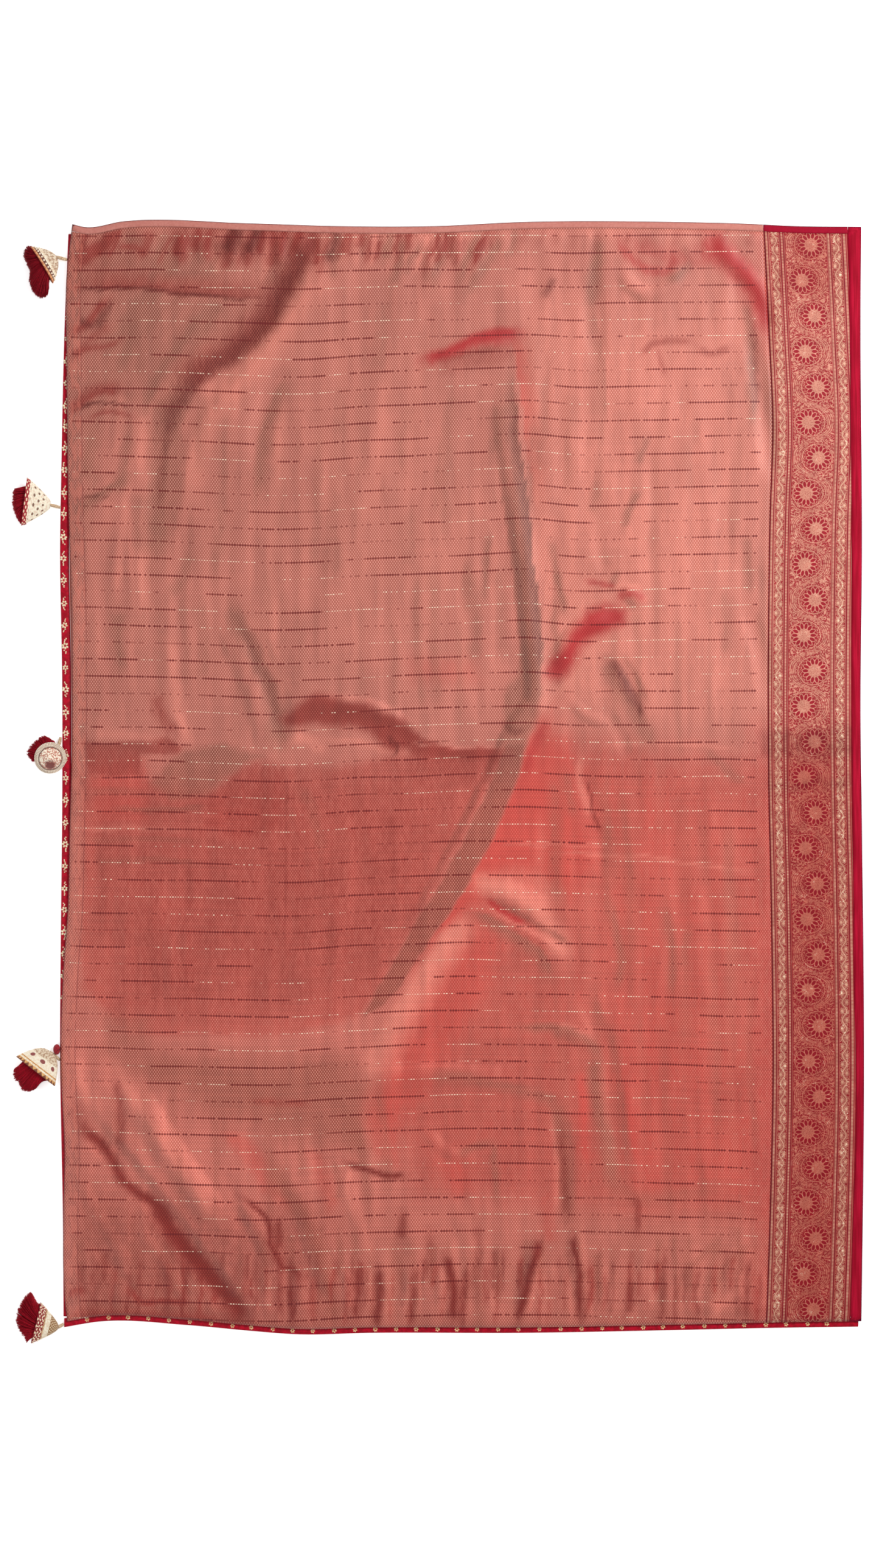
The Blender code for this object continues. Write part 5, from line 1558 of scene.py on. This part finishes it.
def bead_place(centre, radii, normal=(0, 0, 1), turn=0.0):
    """A ball with its third radius along the normal, turned about it."""
    aim = Vector(normal).to_track_quat("Z", "Y").to_matrix().to_4x4()
    spin = Matrix.Rotation(turn, 4, "Z")
    return Matrix.Translation(centre) @ aim @ spin @ Matrix.Diagonal((*radii, 1.0))


# Where each binding starts and ends, its cloth, the height, turns and start of its puckers, and its roll:
# shares of its width and heights, round from under its inner side to above it
LEFT_BINDING = (-779.0, 785.0)
BOTTOM_BINDING = (-574.0, 574.0)
BINDING_CLOTH = 0.35
PUCKERS = ((0.10, 900, 0.0), (0.07, 2110, 1.0))
BINDING_ROLL = ((0.985, 0.30), (0.75, 0.30), (0.45, 0.30), (0.2, 0.30), (0.06, 0.34), (0.012, 0.75),
                (0.03, 1.3), (0.1, 1.8), (0.22, 2.2), (0.38, 2.36), (0.55, 2.3), (0.72, 2.05),
                (0.86, 1.7), (0.96, 1.2), (0.985, 0.85))


def left_side(at, inset, height):
    """Places along the left binding, so far in from its outer edge and so high."""
    return np.stack([along(BINDING_EDGE, at) + inset, at, height], -1)


def lower_side(at, inset, height):
    """Places along the lower binding, so far in from its outer edge and so high."""
    return np.stack([at, along(BOTTOM_EDGE, at) + inset, height], -1)


def binding_strip(name, node, length_cells, side, ends):
    """A satin strip rolled round the edge of the bottom stretch, a little puckered by its stitches."""
    columns = 4 * (len(BINDING_ROLL) - 1)
    obj, across, up = new_grid(name, columns, length_cells)
    roll = np.array(BINDING_ROLL)
    knots = np.linspace(0, 1, len(roll))
    share = along(np.stack([knots, roll[:, 0]], 1), across)
    height = along(np.stack([knots, roll[:, 1]], 1), across)
    pucker = sum(rise * np.sin(up * turns + start) for rise, turns, start in PUCKERS)
    height = height + pucker * smooth_step((height - 0.5) / 1.2)
    at = ends[0] + up * (ends[1] - ends[0])
    place_points(obj, side(at, share * BINDING_WIDTH, height))
    apply_solidify(obj, BINDING_CLOTH, offset=0.0)
    outwards(obj)
    dress(obj, satin(), "satin_binding", node)


def bindings():
    binding_strip("binding_left", "edging_left", 420, left_side, LEFT_BINDING)
    binding_strip("binding_bottom", "edging_bottom", 320, lower_side, BOTTOM_BINDING)


# Embroidered flowers on the bindings: the first and last place, their pitch, how far they lie in, their
# size, the most that luck makes of it, and the buds to each side
Flowers = namedtuple("Flowers", "first last pitch inset size most buds")
LEFT_FLOWERS = Flowers(-318.0, 742.0, 31.7, 5.0, 5.0, 1.1, 3)
BOTTOM_FLOWERS = Flowers(-540.0, 552.0, 29.7, 5.2, 3.6, 1.05, 0)
FLOWER_LIFT = 0.05

# A flower's petals and buds, as shares of its size, and their heights
FLOWER_PETALS = 6
FLOWER_PETAL_RING = 0.62
FLOWER_PETAL_LENGTH = 0.40
FLOWER_PETAL_BREADTH = 0.29
FLOWER_PETAL_HEIGHT = 0.6
BUD_START = 1.2
BUD_STEP = 0.36
BUD_LENGTH = 0.24
BUD_BREADTH = 0.19
BUD_HEIGHT = 0.5


def flower_places(centre, along_edge, size, buds, rng):
    """One embroidered flower: petals round an open middle, and a chain of buds to each side."""
    places = []
    edge = Vector(along_edge)
    inward = Vector((-edge.y, edge.x, 0.0))
    spin = rng.uniform(0, math.tau)
    for k in range(FLOWER_PETALS):
        angle = spin + math.tau * k / FLOWER_PETALS + rng.uniform(-0.15, 0.15)
        offset = (edge * math.cos(angle) + inward * math.sin(angle)) * size * FLOWER_PETAL_RING
        turn = math.atan2(offset.y, offset.x)
        radii = (size * FLOWER_PETAL_LENGTH, size * FLOWER_PETAL_BREADTH, FLOWER_PETAL_HEIGHT)
        places.append(bead_place(Vector(centre) + offset, radii, turn=turn))
    for side in (-1, 1):
        for k in range(buds):
            offset = edge * side * size * (BUD_START + BUD_STEP * k)
            offset = offset + inward * size * rng.uniform(-0.35, 0.35)
            radii = (size * BUD_LENGTH, size * BUD_BREADTH, BUD_HEIGHT)
            places.append(bead_place(Vector(centre) + offset, radii, turn=rng.uniform(0, math.pi)))
    return places


def flower_row(name, row, side, along_edge, stitch, rng):
    places = []
    for at in np.arange(row.first, row.last, row.pitch):
        centre = side(at + rng.uniform(-1.5, 1.5), row.inset, BINDING_TOP + FLOWER_LIFT)
        places += flower_places(centre, along_edge, row.size * rng.uniform(0.9, row.most), row.buds, rng)
    dress(scatter(name, places, 5), stitch, "stitched_cone")


def binding_flowers():
    rng = np.random.default_rng(11)
    cream = thread_finish("cream_stitch", tint(206, 172, 128), tint(250, 236, 206))
    gold = thread_finish("gold_stitch", tint(186, 132, 78), tint(246, 214, 164))
    flower_row("flowers_left", LEFT_FLOWERS, left_side, (0, 1, 0), cream, rng)
    flower_row("flowers_bottom", BOTTOM_FLOWERS, lower_side, (1, 0, 0), gold, rng)


def axes_across(direction):
    """A level direction and an upright one across a given direction."""
    direction = Vector(direction).normalized()
    level = direction.cross(Vector((0, 0, 1))).normalized()
    return np.array(level), np.array(level.cross(direction))


def cone_points(name, row, angle, share, lift=0.0):
    """Points on the outer face of a cone, lifted off it by a little."""
    apex = np.array(row.apex)
    mouth = np.array(row.mouth)
    level, upright = axes_across(mouth - apex)
    hole = 0.01 if name == STANDING_TASSEL else 0.12
    open_share = hole + (1 - hole) * share**row.swell
    high_share = open_share if name == STANDING_TASSEL else 0.35 + 0.65 * share**row.swell
    centre = apex + np.multiply.outer(share, mouth - apex)
    across = np.multiply.outer((row.across * open_share + lift) * np.cos(angle), level)
    rise = np.multiply.outer((row.high * high_share + lift) * np.sin(angle), upright)
    return centre + across + rise


def cone(name, row, finish):
    """The stitched cloth cone, open at its mouth, with soft dents between its gathers."""
    obj, turn, share = new_grid(name + "_cone_cloth", CONE_SIDES, CONE_RINGS)
    angle = turn * math.tau
    dents = CONE_DENT * np.sin(angle * CONE_GATHERS + 2 * share) * share * (1 - share)
    points = cone_points(name, row, angle, share, dents - CONE_INSET)
    place_points(obj, points)
    store(obj, "around", np.stack([np.cos(angle), np.sin(angle), share], 1))
    outwards(obj, merge=0.02)
    apply_solidify(obj, CONE_CLOTH)
    outwards(obj)
    dress(obj, finish, "stitched_cone", name + "_cone")


def cone_beads(name, rings, finish):
    """Rings of seed beads on a cone: each ring's share, number, radius and lift."""
    row = TASSELS[name]
    places = []
    for share, count, radius, lift in rings:
        angles = np.arange(count) * math.tau / count
        shares = np.full(count, share)
        points = cone_points(name, row, angles, shares, lift)
        outer = cone_points(name, row, angles, shares, lift + 1.0)
        for point, further in zip(points, outer):
            places.append(bead_place(point, (radius, radius, radius * 0.8), normal=further - point))
    dress(scatter(name + "_beads", places, 6), finish, "stitched_cone")


def neck(name, row):
    """A cord of three twisted strands from the binding to the cone."""
    start = np.array(row.anchor)
    stop = np.array(STANDING_NECK_END if name == STANDING_TASSEL else row.apex)
    level, upright = axes_across(stop - start)
    t = np.linspace(-0.04, 1.03, NECK_STATIONS)
    lines = []
    radii = []
    for k in range(STRANDS):
        turn = math.tau * (t * NECK_TURNS + k / STRANDS)
        swell = 1.0 + 0.3 * np.sin(math.pi * t)
        line = start + np.multiply.outer(t, stop - start)
        line = line + np.multiply.outer(np.cos(turn) * swell * STRAND_SWAY, level)
        line = line + np.multiply.outer(np.sin(turn) * swell * STRAND_SWAY, upright)
        lines.append(line)
        radii.append(STRAND_RADIUS * swell)
    obj = tubes(name + "_cord", lines, radii, 8)
    finish = thread_finish(name + "_cord_thread", tint(150, 112, 84), tint(226, 200, 164))
    dress(obj, finish, "stitched_cone", name + "_neck")


def tip_line(tips, share):
    """Points at shares of the length of the outline of a fringe's cut ends."""
    points = curve_points(tips, 12 * len(tips))
    lengths = np.concatenate([[0.0], np.cumsum(np.linalg.norm(np.diff(points, axis=0), axis=1))])
    return np.stack([np.interp(share, lengths / lengths[-1], values) for values in points.T], 1)


def fringe(name, row, finish, seed):
    """Fine cut threads that leave the cone's mouth and lie on the surface as far as their outline."""
    rng = np.random.default_rng(seed)
    first, middle = tip_line(row.tips, np.array([0.0, 0.5]))
    if name == STANDING_TASSEL:
        centre = np.array(STANDING_HEAD)
        across = STANDING_ACROSS
        high = STANDING_HIGH
        facing = np.array([*(middle - centre[:2]), 0.0])
    else:
        facing = np.array(row.mouth) - np.array(row.apex)
        centre = np.array(row.mouth) - facing / np.linalg.norm(facing) * 2.0
        across = row.across * HEAD_ACROSS_SHARE
        high = row.high - 2.6
    facing = facing / np.linalg.norm(facing)
    towards_first = np.cross(facing, (0, 0, 1))
    towards_first /= np.linalg.norm(towards_first)
    towards_first *= math.copysign(1.0, towards_first[:2] @ (first - centre[:2]))
    share = rng.random(row.threads)
    height = rng.uniform(-1, 1, row.threads)
    roots = centre + np.multiply.outer((1 - 2 * share) * across, towards_first)
    roots = roots + np.multiply.outer(height * high * np.sqrt(1 - 0.8 * (1 - 2 * share) ** 2), (0, 0, 1))
    roots = roots - facing * ROOT_DEPTH
    clump = rng.uniform(0.93, 1.0, THREAD_CLUMPS)[(share * THREAD_CLUMPS).astype(int)]
    reach = clump * rng.uniform(0.93, 1.0, row.threads)
    tips = roots.copy()
    tips[:, :2] += (tip_line(row.tips, share) - roots[:, :2]) * reach[:, None]
    tips[:, 2] = 1.2 + (height + 1) * 0.5 * centre[2] * 0.9 + rng.uniform(0, 1.5, row.threads)
    leave = roots + facing * MOUTH_REACH
    leave[:, 2] += 1.0
    bend = leave * 0.35 + tips * 0.65
    bend[:, 2] = leave[:, 2] * 0.5 + tips[:, 2] * 0.5 + rng.uniform(-0.4, 1.2, row.threads)
    t = np.linspace(0, 1, THREAD_STATIONS)[None, :, None]
    lines = ((1 - t) ** 3 * roots[:, None] + 3 * t * (1 - t) ** 2 * leave[:, None]
             + 3 * t**2 * (1 - t) * bend[:, None] + t**3 * tips[:, None])
    taper = np.array([0.8, 1.0, 1.0, 1.0, 0.9, 0.55]) * THREAD_RADIUS
    obj = tubes(name + "_threads", lines, [taper] * row.threads, THREAD_SIDES)
    dress(obj, finish, "red_thread", name + "_fringe")


def thread_ball():
    """A ball of wound red thread beside the fourth tassel."""
    rng = np.random.default_rng(4)
    lines = []
    radii = []
    turns = np.linspace(0, math.tau, BEAD_LOOP_STATIONS)
    for _ in range(BEAD_LOOPS):
        tilt = Matrix.Rotation(rng.uniform(0, math.pi), 3, Vector(rng.normal(size=3)).normalized())
        loop = np.stack([np.cos(turns), np.sin(turns), 0.06 * np.sin(3 * turns)], 1) @ np.array(tilt)
        lines.append(np.array(BEAD_CENTRE) + loop * (np.array(BEAD_RADII) - 0.5))
        radii.append(np.full(BEAD_LOOP_STATIONS, BEAD_THREAD_RADIUS))
    obj = tubes("thread_ball", lines, radii, 6)
    finish = thread_finish("ball_thread", tint(96, 2, 14), tint(176, 10, 34))
    dress(obj, finish, "red_thread", "tassel_4_bead")


def tassels():
    red = thread_finish("fringe_thread", tint(118, 0, 16), tint(184, 0, 34), 0.7, 0.0)
    deep_red = thread_finish("fringe_thread_deep", tint(100, 0, 12), tint(160, 0, 28), 0.7, 0.0)
    cream = tint(246, 236, 212)
    brown = tint(112, 66, 46)
    finishes = {
        "tassel_1": cone_cloth("cone_1_cloth", (
            Zone(0.0, "mottled", tint(232, 214, 188), tint(176, 138, 108)),
            Zone(0.56, "mottled", cream, tint(226, 200, 168)),
            Zone(0.70, "beads", tint(96, 48, 34), tint(120, 62, 42)),
            Zone(0.88, "triangles", tint(186, 106, 62), tint(226, 168, 116)))),
        "tassel_2": cone_cloth("cone_2_cloth", (
            Zone(0.0, "mottled", cream, tint(232, 208, 184)),
            Zone(0.84, "beads", tint(160, 8, 28), tint(244, 214, 180))),
            (5.5, 11.0, 0.19, 0.2, 0.80, brown)),
        "tassel_3": disc_cloth(),
        "tassel_4": cone_cloth("cone_4_cloth", (
            Zone(0.0, "mottled", tint(228, 208, 180), tint(176, 140, 110)),
            Zone(0.36, "mottled", cream, tint(238, 218, 190)),
            Zone(0.74, "beads", tint(196, 134, 70), tint(226, 176, 112)),
            Zone(0.79, "mottled", cream, tint(230, 206, 172)),
            Zone(0.86, "triangles", tint(122, 66, 40), tint(222, 168, 104))),
            (3.0, 8.0, 0.21, 0.34, 0.66, tint(130, 4, 24))),
        "tassel_5": cone_cloth("cone_5_cloth", (
            Zone(0.0, "beads", tint(150, 106, 64), tint(236, 214, 176)),
            Zone(0.40, "mottled", cream, tint(232, 210, 180)),
            Zone(0.62, "mottled", tint(170, 120, 78), tint(220, 184, 140)),
            Zone(0.68, "beads", tint(140, 2, 22), tint(246, 222, 186)))),
    }
    pearl = thread_finish("pearl_bead", tint(236, 204, 168), tint(255, 246, 226), 0.3)
    for seed, (name, row) in enumerate(TASSELS.items()):
        neck(name, row)
        cone(name, row, finishes[name])
        fringe(name, row, deep_red if name == "tassel_1" else red, seed)
    thread_ball()
    grey = thread_finish("grey_bead", tint(220, 196, 172), tint(255, 246, 230), 0.5)
    cone_beads("tassel_1", ((0.79, 30, 1.5, 0.3), (0.58, 40, 0.8, 0.3)), pearl)
    cone_beads("tassel_5", ((0.76, 30, 1.0, 0.3), (0.92, 34, 1.0, 0.3)), pearl)
    cone_beads("tassel_3", ((0.76, 52, 1.0, 0.3), (0.86, 58, 1.0, 0.3), (0.96, 64, 1.0, 0.3)), grey)


def lower_cloth():
    """Materials of the solids that stay as they are."""
    finish = layered_cloth()
    for name in ("hidden_layers", "under_stretch"):
        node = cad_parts[name]
        node.data.materials.clear()
        node.data.materials.append(finish)


def studio():
    """A pale floor, soft light from the upper right, and a camera that looks straight down."""
    deselect()
    bpy.ops.mesh.primitive_plane_add(size=FLOOR_SIZE, location=(0, 0, FLOOR_HEIGHT))
    floor = bpy.context.object
    floor.name = "floor"
    paper = Finish("floor_paper", 0.9, Base_Color=PAPER, Emission_Color=WHITE, Emission_Strength=FLOOR_GLOW)
    floor.data.materials.append(paper.material)

    for name, place, size, power in LAMPS:
        lamp = bpy.data.lights.new(name, "AREA")
        lamp.size = size
        lamp.energy = power
        obj = bpy.data.objects.new(name, lamp)
        obj.location = place
        obj.rotation_euler = (-Vector(place)).to_track_quat("-Z", "Y").to_euler()
        bpy.context.collection.objects.link(obj)

    world = bpy.data.worlds.new("studio")
    world.use_nodes = True
    sky = world.node_tree.nodes["Background"].inputs
    sky["Color"].default_value = WHITE
    sky["Strength"].default_value = SKY_STRENGTH
    bpy.context.scene.world = world
    bpy.context.scene.view_settings.view_transform = "Standard"

    lens = bpy.data.cameras.new("camera")
    lens.sensor_width = SENSOR
    lens.lens = SENSOR * CAMERA_PLACE[2] / FRAME_HEIGHT
    camera = bpy.data.objects.new("camera", lens)
    camera.location = CAMERA_PLACE
    bpy.context.collection.objects.link(camera)
    bpy.context.scene.camera = camera


studio()
lower_cloth()
top_stretch()
bindings()
binding_flowers()
tassels()
